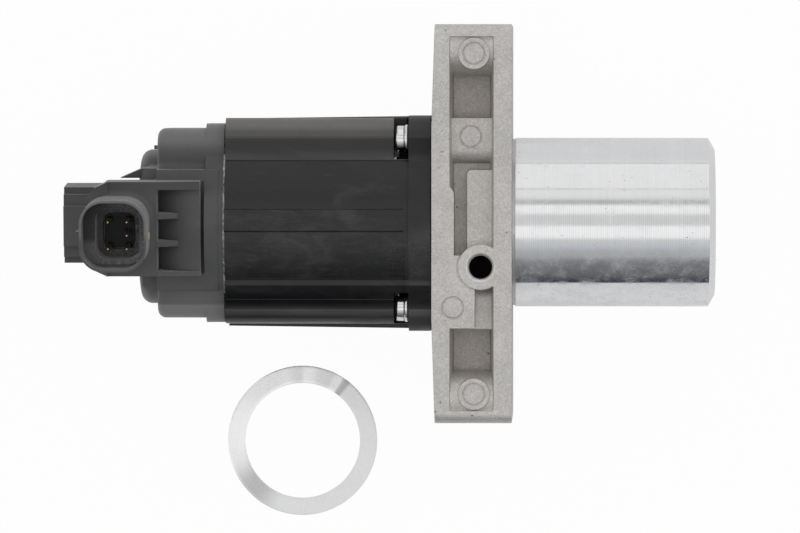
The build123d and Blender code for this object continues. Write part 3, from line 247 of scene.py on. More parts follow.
class Desk:
    """Where one material is put together."""

    def __init__(self, name: str) -> None:
        """Starts an empty material.

        Args:
            name: The material's name.
        """
        self.material = bpy.data.materials.new(name)
        self.material.use_nodes = True
        self.tree = self.material.node_tree
        self.tree.nodes.clear()
        self.place = add_node(self.tree, "ShaderNodeTexCoord", output="Object")

    def along(self, axis: Axis) -> Signal:
        """The place along one axis, in millimetres."""
        part = add_node(self.tree, "ShaderNodeSeparateXYZ", None, {0: self.place}, axis.value)
        return part / MM

    def away(self, first: Axis, second: Axis, centre: Pair = (0.0, 0.0)) -> Signal:
        """The distance from a line that runs along the third axis.

        Args:
            first: One of the axes that the line crosses.
            second: The other one.
            centre: The line's places along these two.

        Returns:
            The distance, in millimetres.
        """
        across = self.along(first) - centre[0]
        up = self.along(second) - centre[1]
        return (across * across + up * up) ** 0.5

    def stretched(self, stretch: Triple, turn: Triple = (0, 0, 0)) -> Signal:
        """The place in millimetres, turned and then divided along each axis.

        Args:
            stretch: How much longer a pattern gets along its own X, Y and Z.
            turn: A turn of the pattern about X, Y and Z, in radians.

        Returns:
            A vector for a texture's Vector socket.
        """
        inputs = {"Vector": self.place, "Rotation": turn, "Scale": tuple(MM * part for part in stretch)}
        return add_node(self.tree, "ShaderNodeMapping", {"vector_type": "TEXTURE"}, inputs)

    def noise(
        self, size: float, detail: float = 3.0, rough: float = 0.55, stretch: Triple = (1, 1, 1), warp: float = 0.0,
        turn: Triple = (0, 0, 0),
    ) -> Signal:
        """Soft noise from 0 to 1.

        Args:
            size: The size of its largest features.
            detail: How many finer layers it has.
            rough: How strong the finer layers are.
            stretch: How much longer it is along X, Y and Z.
            warp: How much it is distorted.
            turn: How it is turned about X, Y and Z, in radians.

        Returns:
            The noise.
        """
        inputs = {
            "Vector": self.stretched(stretch, turn), "Scale": 1 / size, "Detail": detail, "Roughness": rough,
            "Distortion": warp,
        }
        return add_node(self.tree, "ShaderNodeTexNoise", None, inputs, "Fac")

    def cells(self, size: float, stretch: Triple = (1, 1, 1)) -> Signal:
        """The distance to the nearest point of a pattern of cells.

        Args:
            size: The cells' size.
            stretch: How much longer it is along X, Y and Z.

        Returns:
            The distance, in cells.
        """
        inputs = {"Vector": self.stretched(stretch), "Scale": 1 / size}
        return add_node(self.tree, "ShaderNodeTexVoronoi", None, inputs, "Distance")

    def grains(self, size: float) -> Signal:
        """A random value for each grain.

        Args:
            size: The grains' size.

        Returns:
            The value, from 0 to 1.
        """
        inputs = {"Vector": self.stretched((1, 1, 1)), "Scale": 1 / size}
        colour = add_node(self.tree, "ShaderNodeTexVoronoi", None, inputs, "Color")
        return add_node(self.tree, "ShaderNodeSeparateColor", None, {0: colour})

    def pill(self, centre: Pair, half: Pair, heights: Pair, edge: float = 0.2) -> Signal:
        """1 inside an upright block with well-rounded corners, and 0 outside it.

        Args:
            centre: Its middle along X and Y.
            half: Half its size along X and Y.
            heights: Its foot and its top.
            edge: How far its foot and its top fade out.

        Returns:
            The mask.
        """
        x = ((self.along(Axis.X) - centre[0]) / half[0]) ** 2.0
        y = ((self.along(Axis.Y) - centre[1]) / half[1]) ** 2.0
        inside = (x * x + y * y).step(1.05, 0.97)
        return inside * self.along(Axis.Z).between((heights[0] - edge, heights[0]), (heights[1] + edge, heights[1]))

    def mix(self, factor: Signal | float, low: Signal | Triple, high: Signal | Triple) -> Signal:
        """A mix of two colours.

        Args:
            factor: 0 for the low one and 1 for the high one.
            low: The colour at 0.
            high: The colour at 1.

        Returns:
            The mixed colour.
        """
        return add_node(self.tree, "ShaderNodeMix", {"data_type": "RGBA"}, {"Factor": factor, 6: low, 7: high}, 2)

    def bump(self, height: Signal | float, depth: float, under: Signal | None = None) -> Signal:
        """Turns a height from 0 to 1 into a normal.

        Args:
            height: The height.
            depth: What a height of 1 measures.
            under: A normal from a coarser bump.

        Returns:
            The normal.
        """
        inputs = {"Height": height, "Distance": depth * MM, "Strength": 1.0}
        if under is not None:
            inputs["Normal"] = under
        return add_node(self.tree, "ShaderNodeBump", None, inputs, "Normal")

    def finish(self, **sockets: "Signal | float | tuple") -> bpy.types.Material:
        """Adds the surface shader and ends the material.

        Args:
            sockets: The shader's sockets, with an underscore for each space in a name.

        Returns:
            The material.
        """
        inputs = {key.replace("_", " "): value for key, value in sockets.items()}
        surface = add_node(self.tree, "ShaderNodeBsdfPrincipled", None, inputs)
        add_node(self.tree, "ShaderNodeOutputMaterial", None, {"Surface": surface})
        return self.material


# Finishes


@dataclass(frozen=True)
class CastMetal:
    """Blasted die-cast aluminium: fine bright grain, soft stains, and painted shade on the pocket floors and inside
    the gas port.

    A reach is a distance from the middle to either side, along Y.
    """

    name: str
    colour: Triple
    pocket_shade_colour: Triple
    grain: float = 0.32
    pit_colour: Triple = (0.1, 0.095, 0.09)
    pocket_heights: Band = ((15.0, 19.0), (26.0, 22.4))
    pocket_reach: Pair = (56.0, 48.0)
    outer_reach: Pair = (26.0, 31.0)
    port_at: Pair = (-9.3, -12.9)
    port_radius: float = 3.5
    port_heights: Pair = (33.0, 30.8)
    port_shade_colour: Triple = (0.045, 0.038, 0.034)
    ring_edge: Pair = (0.95, 0.8)
    ring_heights: Pair = (31.6, 31.9)
    ring_colour: Triple = (0.86, 0.85, 0.83)

    def material(self) -> bpy.types.Material:
        """Builds the material.

        Returns:
            The material.
        """
        desk = Desk(self.name)
        fine = desk.noise(self.grain, 4.0, 0.65)
        grains = desk.grains(self.grain * 1.3)
        cloud = desk.noise(9.0, 4.0, 0.6)
        pits = desk.cells(2.6).step(0.16, 0.05) * desk.noise(6.0, 1.0).step(0.56, 0.62)
        height = desk.along(Axis.Z)
        reach = desk.along(Axis.Y).math("ABSOLUTE")
        # Painted shade on the pocket floors, strongest beyond the outer reach.
        pocket_shade = height.between(*self.pocket_heights) * reach.step(*self.pocket_reach)
        pocket_shade = pocket_shade * (0.55 + 0.45 * reach.step(*self.outer_reach))
        # Painted shade inside the gas port's bore.
        beside = desk.away(Axis.X, Axis.Y, self.port_at) - self.port_radius
        port = beside.step(0.12, 0.0) * height.step(*self.port_heights)
        ring = beside.step(*self.ring_edge) * (1.0 - port) * height.step(*self.ring_heights)
        shade = ((fine - 0.5) * 1.1 + (grains - 0.5) * 0.35 + (cloud - 0.5) * 0.6 + 0.5).clamp()
        base = desk.mix(shade, scaled(self.colour, 0.7), scaled(self.colour, 1.3))
        low = desk.mix(shade, scaled(self.pocket_shade_colour, 0.7), scaled(self.pocket_shade_colour, 1.25))
        colour = desk.mix(pocket_shade * 0.85, base, low)
        colour = desk.mix(pits * 0.7, colour, self.pit_colour)
        colour = desk.mix(ring * 0.8, colour, self.ring_colour)
        colour = desk.mix(port, colour, self.port_shade_colour)
        rough = 0.46 + 0.2 * fine - 0.14 * grains.step(0.85, 1.0) + 0.3 * port - 0.2 * ring
        normal = desk.bump(fine * 0.6 + grains * 0.4, 0.06)
        normal = desk.bump(1.0 - pits, 0.12, normal)
        return desk.finish(Base_Color=colour, Metallic=0.75 - 0.7 * port, Roughness=rough, Normal=normal)


@dataclass(frozen=True)
class TurnedMetal:
    """Metal cut on a lathe about the valve's axis, with its feed marks, nicks, stains, soot and a scratched film;
    along the top the feed marks are painted with more contrast, a painted reflection.
    """

    name: str
    colour: Triple
    rough: float = 0.2
    feed: float = 0.25
    feed_depth: float = 0.004
    hatch: float = 0.63
    stain: float = 0.12
    soot: float = 0.0
    film: float = 0.0
    nick_colour: Triple = (0.3, 0.28, 0.26)
    soot_colour: Triple = (0.02, 0.018, 0.016)
    scratch_leans_radians: Triple = (0.7, -0.9, 2.0)
    top_heights: Pair = (0.0, 6.0)
    reflected_marks_y: Band = ((-8.0, -5.0), (6.5, 5.5))
    flank_y: Pair = (-4.6, -8.5)

    def material(self) -> bpy.types.Material:
        """Builds the material.

        Returns:
            The material.
        """
        desk = Desk(self.name)
        run = desk.along(Axis.X) + desk.away(Axis.Y, Axis.Z)
        wave = (run * (2 * math.pi / self.feed)).math("SINE") * 0.5 + 0.5
        lines = desk.noise(0.45, 2.0, 0.75, (1.0, 80.0, 80.0))
        hatch = (run * (2 * math.pi / self.hatch)).math("SINE") * 0.5
        bands = desk.noise(2.6, 3.0, 0.6, (1.0, 40.0, 40.0))
        cloud = desk.noise(8.0, 5.0, 0.65, (1.8, 1.0, 1.0), 0.5)
        blotch = desk.noise(4.5, 5.0, 0.75, (1.5, 1.0, 1.0), 0.4).step(0.34, 0.8)
        nicks = desk.cells(1.7, (1.5, 1.0, 1.0)).step(0.13, 0.05) * desk.noise(4.0, 2.0).step(0.47, 0.56)
        dirt = desk.noise(0.5, 2.0, 0.6, (1.3, 1.0, 1.0)).step(0.66, 0.76) * desk.noise(9.0, 1.0).step(0.46, 0.58)
        soot = desk.noise(4.0, 5.0, 0.65).step(0.35, 0.7) * self.soot
        top = desk.along(Axis.Z).step(*self.top_heights)
        side = desk.along(Axis.Y)
        # Along the top the real feed marks get more contrast, a painted reflection.
        reflected_marks_zone = side.between(*self.reflected_marks_y) * top
        flank = side.step(*self.flank_y) * top
        scratches: Signal | float = 0.0
        for lean in self.scratch_leans_radians:
            strokes = desk.noise(0.34, 1.0, 0.5, (11.0, 1.0, 1.0), turn=(0.0, 0.0, lean))
            scratches = strokes.step(0.7, 0.8) + scratches
        haze = desk.noise(5.5, 6.0, 0.78, (1.2, 1.0, 1.0), 0.3).step(0.4, 0.72)
        film = (haze * 0.42 + scratches * 0.3) * (0.2 + 0.8 * flank) * self.film
        shade = (bands - 0.5) * 0.2 + (lines - 0.5) * (0.3 + 0.25 * reflected_marks_zone) + hatch * (0.12 + 0.25 * reflected_marks_zone)
        shade = shade + (cloud - 0.5) * self.stain * 3 + 0.72
        colour = desk.mix(shade.clamp(), scaled(self.colour, 0.74), self.colour)
        colour = desk.mix((nicks * 0.5 + dirt * 0.35).clamp(), colour, self.nick_colour)
        colour = desk.mix(soot, colour, self.soot_colour)
        rough = self.rough + self.stain * (2.4 * blotch * cloud.step(0.3, 0.7) + 0.3 * bands) + 0.4 * soot
        normal = desk.bump(wave * 0.3 + lines * 0.7, self.feed_depth)
        normal = desk.bump(1.0 - nicks, 0.04, normal)
        return desk.finish(Base_Color=colour, Metallic=1.0 - film.clamp(), Roughness=rough, Normal=normal)


@dataclass(frozen=True)
class MouldedPlastic:
    """Moulded plastic: satin, with fine texture, flow marks, dust, faint scratches, and bands along Y of painted
    highlight and shade.
    """

    name: str
    colour: Triple
    rough: float = 0.42
    texture: float = 0.35
    texture_depth: float = 0.012
    dust: float = 0.35
    dust_and_highlight_colour: Triple = (0.16, 0.155, 0.15)
    smear: float = 0.0
    sheen: float = 0.0
    # Haze: bands along Y of painted highlight, and of painted shade where the amount is under 0
    haze: tuple[Triple, ...] = ()

    def worn(self, desk: Desk) -> Signal | float:
        """Dust, and painted light, that one moulding has at its own places."""
        return 0.0

    def painted(self, desk: Desk, colour: Signal) -> Signal:
        """The colour, changed at one moulding's own places."""
        return colour

    def shaped(self, desk: Desk) -> Signal | None:
        """The normal of one moulding's forms that are finer than its mesh."""
        return None

    def material(self) -> bpy.types.Material:
        """Builds the material.

        Returns:
            The material.
        """
        desk = Desk(self.name)
        fine = desk.noise(self.texture, 3.0, 0.6)
        cloud = desk.noise(14.0, 4.0, 0.55)
        flow = desk.noise(6.0, 4.0, 0.65, (3.5, 1.0, 1.0), 0.6)
        patch = desk.noise(17.0, 3.0, 0.6, (1.3, 1.0, 1.0), 0.4).step(0.46, 0.64)
        specks = desk.cells(1.3).step(0.11, 0.04) * desk.noise(8.0, 2.0).step(0.48, 0.62)
        powder = desk.noise(0.5, 2.0, 0.7).step(0.62, 0.74) * patch
        scratch = desk.noise(0.35, 1.0, 0.5, (24.0, 1.0, 1.0)).step(0.74, 0.8) * desk.noise(9.0, 1.0).step(0.5, 0.58)
        shade = (fine - 0.5) * 0.6 + (cloud - 0.5) * 0.8 + 0.5
        colour = desk.mix(shade.clamp(), scaled(self.colour, 0.7), scaled(self.colour, 1.35))
        dust_and_painted_light = (flow.step(0.52, 0.8) * (0.12 + 0.5 * self.smear) + scratch * 0.4 + specks) * self.dust
        dust_and_painted_light = dust_and_painted_light + powder * self.smear * 0.3 + patch * self.smear * 0.07 + self.worn(desk)
        # Haze adds bands of painted highlight, and of painted shade where the amount is under 0.
        for start, end, amount in self.haze:
            dust_and_painted_light = dust_and_painted_light + desk.along(Axis.Y).step(start, end) * (0.75 + 0.5 * cloud) * amount
        colour = self.painted(desk, desk.mix(dust_and_painted_light.clamp(), colour, self.dust_and_highlight_colour))
        rough = self.rough + 0.14 * (cloud - 0.5) + 0.12 * fine + 0.12 * dust_and_painted_light + self.smear * 0.5 * patch
        normal = desk.bump(fine, self.texture_depth, self.shaped(desk))
        normal = desk.bump(flow, 0.03, normal)
        return desk.finish(Base_Color=colour, Roughness=rough, Normal=normal, Sheen_Weight=self.sheen)


@dataclass(frozen=True)
class CapPlastic(MouldedPlastic):
    """The end cap's plastic, with a crumbly connector well, painted shade on its inner wall, in its sockets and in a
    groove beside the crown, and a painted highlight on its rim.
    """

    lit_x: Pair = (-127.0, -113.0)
    well_centre: Pair = (-118.1, -2.1)
    well_half: Pair = (9.5, 9.9)
    well_heights: Pair = (24.0, 46.5)
    crumb_colour: Triple = (0.42, 0.415, 0.41)
    wall_heights: Pair = (38.6, 38.8)
    wall_shade_colour: Triple = (0.012, 0.012, 0.012)
    rim_highlight_heights: Pair = (46.7, 46.95)
    socket_centre: Pair = (-117.3, -2.1)
    socket_half: Pair = (4.9, 5.5)
    socket_shade_colour: Triple = (0.006, 0.006, 0.006)
    groove_x: Band = ((-93.0, -92.8), (-91.8, -92.0))
    groove_y: Band = ((-15.2, -14.8), (12.9, 12.5))
    groove_heights: Pair = (24.0, 25.0)
    groove_shade_colour: Triple = (0.004, 0.004, 0.004)
    shaded_y: Band = ((7.0, 12.0), (22.0, 19.0))
    shaded_colour: Triple = (0.02, 0.02, 0.021)
    contact_at: Pair = (-108.1, -3.5)
    contact_half: Pair = (0.6, 1.0)
    contact_heights: Pair = (33.0, 38.0)
    contact_colour: Triple = (0.6, 0.45, 0.15)

    def masks(self, desk: Desk) -> tuple[Signal, Signal, Signal, Signal]:
        """Where the connector's inside differs.

        Args:
            desk: The material's desk.

        Returns:
            The well, its sockets, its crumbs and the side of it that faces the light.
        """
        sockets = desk.pill(self.socket_centre, self.socket_half, self.well_heights)
        well = desk.pill(self.well_centre, self.well_half, self.well_heights) * (1.0 - sockets)
        crumbs = desk.noise(0.7, 5.0, 0.75, warp=0.8)
        return well, sockets, crumbs, desk.along(Axis.X).step(*self.lit_x)

    def worn(self, desk: Desk) -> Signal:
        """Grit in the well, painted paler on the side that faces the light."""
        well, _, crumbs, side = self.masks(desk)
        return well * (0.12 + crumbs.step(0.42, 0.7) * (0.25 + 0.65 * side))

    def painted(self, desk: Desk, colour: Signal) -> Signal:
        """Pale crumbs painted paler on the lit side, painted shade on the inner wall, in the sockets, in the groove
        and in a band along Y, a painted highlight on the rim, and one contact's edge.

        Args:
            desk: The material's desk.
            colour: The colour so far.

        Returns:
            The colour with them.
        """
        well, sockets, crumbs, side = self.masks(desk)
        x = desk.along(Axis.X)
        y = desk.along(Axis.Y)
        z = desk.along(Axis.Z)
        # Painted shade on the well's inner wall, lighter on the side that faces the light.
        wall = well * z.step(*self.wall_heights) * (0.9 - 0.55 * side)
        # Painted shade in the groove beside the crown.
        groove = x.between(*self.groove_x) * y.between(*self.groove_y) * z.step(*self.groove_heights)
        contact = desk.pill(self.contact_at, self.contact_half, self.contact_heights)
        # The crumbs are real grit, painted paler on the side that faces the light.
        colour = desk.mix(well * crumbs.step(0.4, 0.7) * side * 0.4, colour, self.crumb_colour)
        colour = desk.mix(wall, colour, self.wall_shade_colour)
        # Painted shade in the sockets.
        colour = desk.mix(sockets * 0.85, colour, self.socket_shade_colour)
        # A painted highlight on the rim's top.
        colour = desk.mix(z.step(*self.rim_highlight_heights) * 0.5, colour, self.dust_and_highlight_colour)
        colour = desk.mix(groove, colour, self.groove_shade_colour)
        colour = desk.mix(y.between(*self.shaded_y) * 0.4, colour, self.shaded_colour)
        return desk.mix(contact * 0.9, colour, self.contact_colour)

    def shaped(self, desk: Desk) -> Signal:
        """The crumbs' relief."""
        well, _, crumbs, _ = self.masks(desk)
        return desk.bump(well * crumbs, 0.18)


@dataclass(frozen=True)
class HousingPlastic(MouldedPlastic):
    """The motor housing's plastic: its sides crowned between faint creases, and smeared where it is handled."""

    crown_from: float = 18.5
    crown_to: float = 25.6
    crown_x: Band = ((-86.0, -85.9), (-32.4, -32.5))
    crown_heights: Pair = (20.0, 20.4)
    crown_lean: float = 0.62
    crown_bend: float = 0.05
    creases: tuple[Pair, ...] = ()
    crease_half: float = 0.16
    crease_depth: float = 0.14
    smudge_y: Band = ((-17.5, -15.5), (5.0, 4.0))
    smudge_heights: Pair = (18.0, 20.0)
    grit_x: Pair = (-48.0, -35.0)
    grit_y: Pair = (-1.0, -6.0)
    plate_x: Pair = (-31.9, -31.6)
    plate_paler_y: Pair = (4.0, -12.0)
    plate_darker_y: Pair = (-4.0, 4.0)

    def worn(self, desk: Desk) -> Signal:
        """Smudges between the creases, a powdery patch by the plate, and a paler lower half of the plate.

        Args:
            desk: The material's desk.

        Returns:
            The dust.
        """
        x = desk.along(Axis.X)
        y = desk.along(Axis.Y)
        middle = y.between(*self.smudge_y) * desk.along(Axis.Z).step(*self.smudge_heights)
        clouds = desk.noise(9.0, 5.0, 0.72, (1.5, 1.0, 1.0), 0.5).step(0.42, 0.72)
        rubs = desk.noise(0.8, 3.0, 0.7, (7.0, 1.0, 1.0), 0.3).step(0.5, 0.75)
        grit = desk.noise(0.42, 3.0, 0.75).step(0.56, 0.74) * x.step(*self.grit_x) * y.step(*self.grit_y)
        plate = x.step(*self.plate_x) * y.step(*self.plate_paler_y)
        return middle * (clouds * 0.17 + rubs * 0.1 + grit * 0.5) + plate * 0.12

    def painted(self, desk: Desk, colour: Signal) -> Signal:
        """The upper half of the plate darker, at the bare colour."""
        plate = desk.along(Axis.X).step(*self.plate_x) * desk.along(Axis.Y).step(*self.plate_darker_y)
        return desk.mix(plate * 0.85, colour, self.colour)

    def shaped(self, desk: Desk) -> Signal:
        """The crown and the creases.

        Args:
            desk: The material's desk.

        Returns:
            The normal.
        """
        y = desk.along(Axis.Y)
        front = desk.along(Axis.Z).math("ABSOLUTE").step(*self.crown_heights)
        front = front * desk.along(Axis.X).between(*self.crown_x)
        past = y.math("ABSOLUTE").math("MINIMUM", self.crown_to).math("MAXIMUM", self.crown_from) - self.crown_from
        normal = desk.bump(past * -self.crown_lean - past * past * self.crown_bend, 1.0)
        ridge: Signal | float = 0.0
        for place, rise in self.creases:
            away = ((y - place) / self.crease_half).math("ABSOLUTE")
            ridge = away.step(1.0, 0.0) * front * rise + ridge
        return desk.bump(ridge, self.crease_depth, normal)


@dataclass(frozen=True)
class SqueezedSealant:
    """Pale sealant that has come out of a seam in crumbs, with the black plastic between them."""

    name: str
    colour: Triple
    base: Triple = (0.012, 0.012, 0.012)

    def material(self) -> bpy.types.Material:
        """Builds the material.

        Returns:
            The material.
        """
        desk = Desk(self.name)
        crumbs = desk.noise(0.9, 4.0, 0.7, warp=0.5)
        broken = desk.noise(5.0, 3.0, 0.65)
        pale = crumbs.step(0.34, 0.52) * (0.45 + 0.55 * broken.step(0.38, 0.55))
        colour = desk.mix(pale, self.base, self.colour)
        normal = desk.bump(crumbs, 0.12)
        return desk.finish(Base_Color=colour, Roughness=0.55 + 0.25 * crumbs, Normal=normal)


@dataclass(frozen=True)
class BrushedSheet:
    """Bright rolled sheet with short brush marks, with dark reflections and shade painted over some turns about the
    wave washer's middle.
    """

    name: str
    colour: Triple
    rough: float = 0.2
    dark_reflection_colour: Triple = (0.2, 0.2, 0.205)
    dark_reflection_turn: Band = ((-162.0, -140.0), (-108.0, -132.0))
    grey_turn: Band = ((-136.0, -112.0), (60.0, 50.0))
    reflection_stripe_turns: tuple[Band, Band] = (((62.0, 66.0), (84.0, 74.0)), ((88.0, 92.0), (104.0, 94.0)))
    fold_shade_turn: Band = ((49.0, 52.0), (58.0, 55.0))

    def material(self) -> bpy.types.Material:
        """Builds the material.

        Returns:
            The material.
        """
        desk = Desk(self.name)
        streaks = desk.noise(0.5, 3.0, 0.75, (1.0, 3.2, 1.0), 0.3)
        fine = desk.noise(0.22, 2.0, 0.7, (1.0, 4.0, 1.0))
        cloud = desk.noise(5.0, 3.0, 0.6)
        turn = (desk.along(Axis.Y) - WASHER_CENTRE[1]).math("ARCTAN2", desk.along(Axis.X) - WASHER_CENTRE[0])
        turn = turn * (180 / math.pi)
        grey = turn.between(*self.grey_turn)
        stripes = turn.between(*self.reflection_stripe_turns[0]) + turn.between(*self.reflection_stripe_turns[1])
        # Painted dark reflections over some turns, and painted shade at the fold.
        worn = turn.between(*self.dark_reflection_turn) * 0.42 + grey * 0.05 + stripes * 0.2 + turn.between(*self.fold_shade_turn) * 0.5
        shade = (streaks - 0.5) * 0.9 + (fine - 0.5) * 0.5 + (cloud - 0.5) * 0.3 + 0.6
        colour = desk.mix(shade.clamp(), scaled(self.colour, 0.8), self.colour)
        colour = desk.mix(worn.clamp(), colour, self.dark_reflection_colour)
        rough = self.rough + 0.12 * streaks + 0.14 * grey
        normal = desk.bump(streaks * 0.6 + fine * 0.4, 0.03)
        return desk.finish(Base_Color=colour, Metallic=0.95, Roughness=rough, Normal=normal)


@dataclass(frozen=True)
class PlainMetal:
    """Plated, rolled, drawn or ground metal with fine grain and handling marks."""

    name: str
    colour: Triple
    rough: float = 0.3
    grain: Triple = (1.0, 1.0, 1.0)
    grain_depth: float = 0.004
    tint: Triple | None = None

    def material(self) -> bpy.types.Material:
        """Builds the material.

        Returns:
            The material.
        """
        desk = Desk(self.name)
        fine = desk.noise(0.18, 3.0, 0.7, self.grain)
        cloud = desk.noise(3.0, 4.0, 0.6)
        marks = desk.cells(1.4).step(0.12, 0.04) * desk.noise(4.0, 1.0).step(0.52, 0.6)
        shade = (fine - 0.5) * 0.5 + (cloud - 0.5) * 0.5 + 0.5
        colour = desk.mix(shade.clamp(), self.tint or scaled(self.colour, 0.72), self.colour)
        colour = desk.mix(marks * 0.6, colour, scaled(self.colour, 0.35))
        rough = self.rough + 0.14 * (cloud - 0.5) + 0.1 * fine
        normal = desk.bump(fine, self.grain_depth)
        return desk.finish(Base_Color=colour, Metallic=1.0, Roughness=rough, Normal=normal)


@dataclass(frozen=True)
class Rubber:
    """Matt moulded rubber with a faint bloom."""

    name: str
    colour: Triple
    rough: float = 0.7

    def material(self) -> bpy.types.Material:
        """Builds the material.

        Returns:
            The material.
        """
        desk = Desk(self.name)
        fine = desk.noise(0.25, 3.0, 0.6)
        bloom = desk.noise(3.5, 4.0, 0.65)
        colour = desk.mix(bloom.step(0.35, 0.8), self.colour, scaled(self.colour, 1.7))
        normal = desk.bump(fine, 0.015)
        return desk.finish(Base_Color=colour, Roughness=self.rough + 0.15 * (fine - 0.5), Normal=normal)


# One finish for each material slot of the record
FINISHES = {finish.name: finish for finish in (
    CastMetal("cast_aluminium", (0.645, 0.624, 0.598), pocket_shade_colour=(0.4, 0.368, 0.342)),
    TurnedMetal("machined_aluminium", (0.87, 0.873, 0.882), rough=0.045, feed=0.4, feed_depth=0.005, film=1.0),
    TurnedMetal("valve_steel", (0.56, 0.55, 0.53), rough=0.26, feed=0.2, feed_depth=0.003, soot=0.15),
    TurnedMetal("bronze", (0.5, 0.33, 0.16), rough=0.34, feed=0.2, feed_depth=0.003, stain=0.1, soot=0.1),
    MouldedPlastic("black_plastic", (0.0065, 0.0065, 0.007), rough=0.27, texture_depth=0.006, dust=0.5, smear=0.3),
    PlainMetal("zinc_steel", (0.92, 0.92, 0.91), rough=0.09, tint=(0.66, 0.66, 0.66)),
    PlainMetal("spring_steel", (0.3, 0.3, 0.31), rough=0.28),
    BrushedSheet("bright_spring_steel", (0.99, 0.99, 0.995)),
    Rubber("seal_rubber", (0.015, 0.015, 0.015)),
    SqueezedSealant("gasket_grey", (0.5, 0.494, 0.482)),
    PlainMetal("motor_steel", (0.55, 0.55, 0.55)),
    PlainMetal("core_steel", (0.3, 0.3, 0.31), rough=0.38, grain=(0.25, 12.0, 12.0), grain_depth=0.02),
    MouldedPlastic("ferrite", (0.035, 0.035, 0.038), rough=0.62, texture=0.2, texture_depth=0.02, dust=0.2),
    PlainMetal("copper", (0.62, 0.27, 0.12), rough=0.28, tint=(0.42, 0.13, 0.05)),
    PlainMetal("contact_brass", (0.72, 0.6, 0.36), tint=(0.42, 0.32, 0.16)),
    MouldedPlastic("brown_plastic", (0.07, 0.03, 0.014), rough=0.5),
    MouldedPlastic("carbon", (0.02, 0.02, 0.021), rough=0.5, texture=0.15, texture_depth=0.015, dust=0.15),
    MouldedPlastic("board_green", (0.008, 0.07, 0.025), rough=0.3, texture=0.5, texture_depth=0.006, dust=0.2),
    MouldedPlastic("chip_black", (0.012, 0.012, 0.012), rough=0.4, texture=0.1, texture_depth=0.006, dust=0.2),
    MouldedPlastic("white_plastic", (0.52, 0.5, 0.45), rough=0.4, texture=0.4, texture_depth=0.006, dust=0.1),
)}

# The finishes of pieces that are worn and painted with light and shade in places of their own. Haze is bands of
# painted highlight, and of painted shade where the amount is under 0; each is listed as start and end along Y with its
# amount, and creases as places along Y with their rise.
OWN_FINISHES = {
    "end_cap_finished": CapPlastic(
        "cap_plastic", (0.078, 0.0782, 0.08), rough=0.5, texture_depth=0.02, dust=0.5,
        dust_and_highlight_colour=(0.22, 0.218, 0.215), smear=0.25, sheen=0.4,
        haze=((21.0, 25.5, 0.5), (-12.0, -19.0, 0.12), (-19.0, -23.0, 0.12), (-23.8, -26.0, 1.9)),
    ),
    "actuator_housing_finished": HousingPlastic(
        "housing_plastic", (0.0065, 0.0065, 0.007), rough=0.24, texture_depth=0.006, dust=0.55, smear=0.34,
        haze=((18.4, 19.0, 0.24), (24.4, 26.4, 0.3), (27.0, 29.5, 0.45), (-23.4, -25.6, 0.26), (-27.0, -28.2, -0.2)),
        creases=((25.85, -0.6), (18.7, 1.0), (4.3, 0.9), (-2.35, -1.6), (-16.7, 1.0), (-22.6, -0.6)),
    ),
}


class Wardrobe:
    """The materials, each made once, and the slot of every node."""

    def __init__(self) -> None:
        """Makes the pieces' own materials and reads each node's slot from the record."""
        self.made: dict[str, bpy.types.Material] = {}
        self.own = {piece: finish.material() for piece, finish in OWN_FINISHES.items()}
        self.slots = {part["node"]: part["material_slot"] for part in frame["record"]["subparts"]}

    def material(self, slot: str) -> bpy.types.Material:
        """The material of a slot, made when it is first asked for.

        Args:
            slot: The record's material slot.

        Returns:
            The material.
        """
        if slot not in self.made:
            self.made[slot] = FINISHES[slot].material()
        return self.made[slot]

    def wear(self, piece: bpy.types.Object, slot: str) -> None:
        """Gives a piece its one material.

        Args:
            piece: A CAD node or a new piece.
            slot: The record's material slot.
        """
        piece.data.materials.clear()
        piece.data.materials.append(self.own.get(piece.name) or self.material(slot))


# Hand work on meshes


def take(piece: bpy.types.Object) -> None:
    """Makes one object the only one selected, and active.

    Args:
        piece: The object.
    """
    bpy.ops.object.select_all(action="DESELECT")
    piece.select_set(True)
    bpy.context.view_layer.objects.active = piece


def apply_modifier(piece: bpy.types.Object, kind: str, **settings: object) -> None:
    """Adds a modifier and applies it.

    Args:
        piece: The object.
        kind: The modifier's type.
        settings: Its attributes.
    """
    take(piece)
    modifier = piece.modifiers.new(kind.lower(), kind)
    for key, value in settings.items():
        setattr(modifier, key, value)
    bpy.ops.object.modifier_apply(modifier=modifier.name)


def smooth(piece: bpy.types.Object, under: float) -> None:
    """Shades a piece smooth, but for its sharp edges.

    Args:
        piece: The object.
        under: The least angle of an edge that stays sharp.
    """
    take(piece)
    bpy.ops.object.shade_smooth_by_angle(angle=math.radians(under))


def copy_of_node(node: str, name: str) -> bpy.types.Object:
    """A new piece with a CAD node's shape, its points merged and its flat faces whole, but for the widest ones.

    Args:
        node: The CAD node.
        name: The piece's name.

    Returns:
        The new piece, which rides on nothing yet.
    """
    take(frame["nodes"][node])
    bpy.ops.object.duplicate()
    piece = bpy.context.active_object
    piece.parent = None
    piece.name = name
    piece.data.name = name
    for key in [key for key in piece.keys() if key.startswith("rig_")]:
        del piece[key]
    bpy.ops.object.mode_set(mode="EDIT")
    bpy.ops.mesh.select_all(action="SELECT")
    bpy.ops.mesh.remove_doubles(threshold=MERGE_WITHIN * MM)
    bpy.ops.mesh.dissolve_limited(angle_limit=math.radians(FLAT_WITHIN))
    bpy.ops.object.mode_set(mode="OBJECT")
    apply_modifier(piece, "TRIANGULATE", quad_method="BEAUTY", ngon_method="BEAUTY", min_vertices=WIDEST_FACE)
    return piece


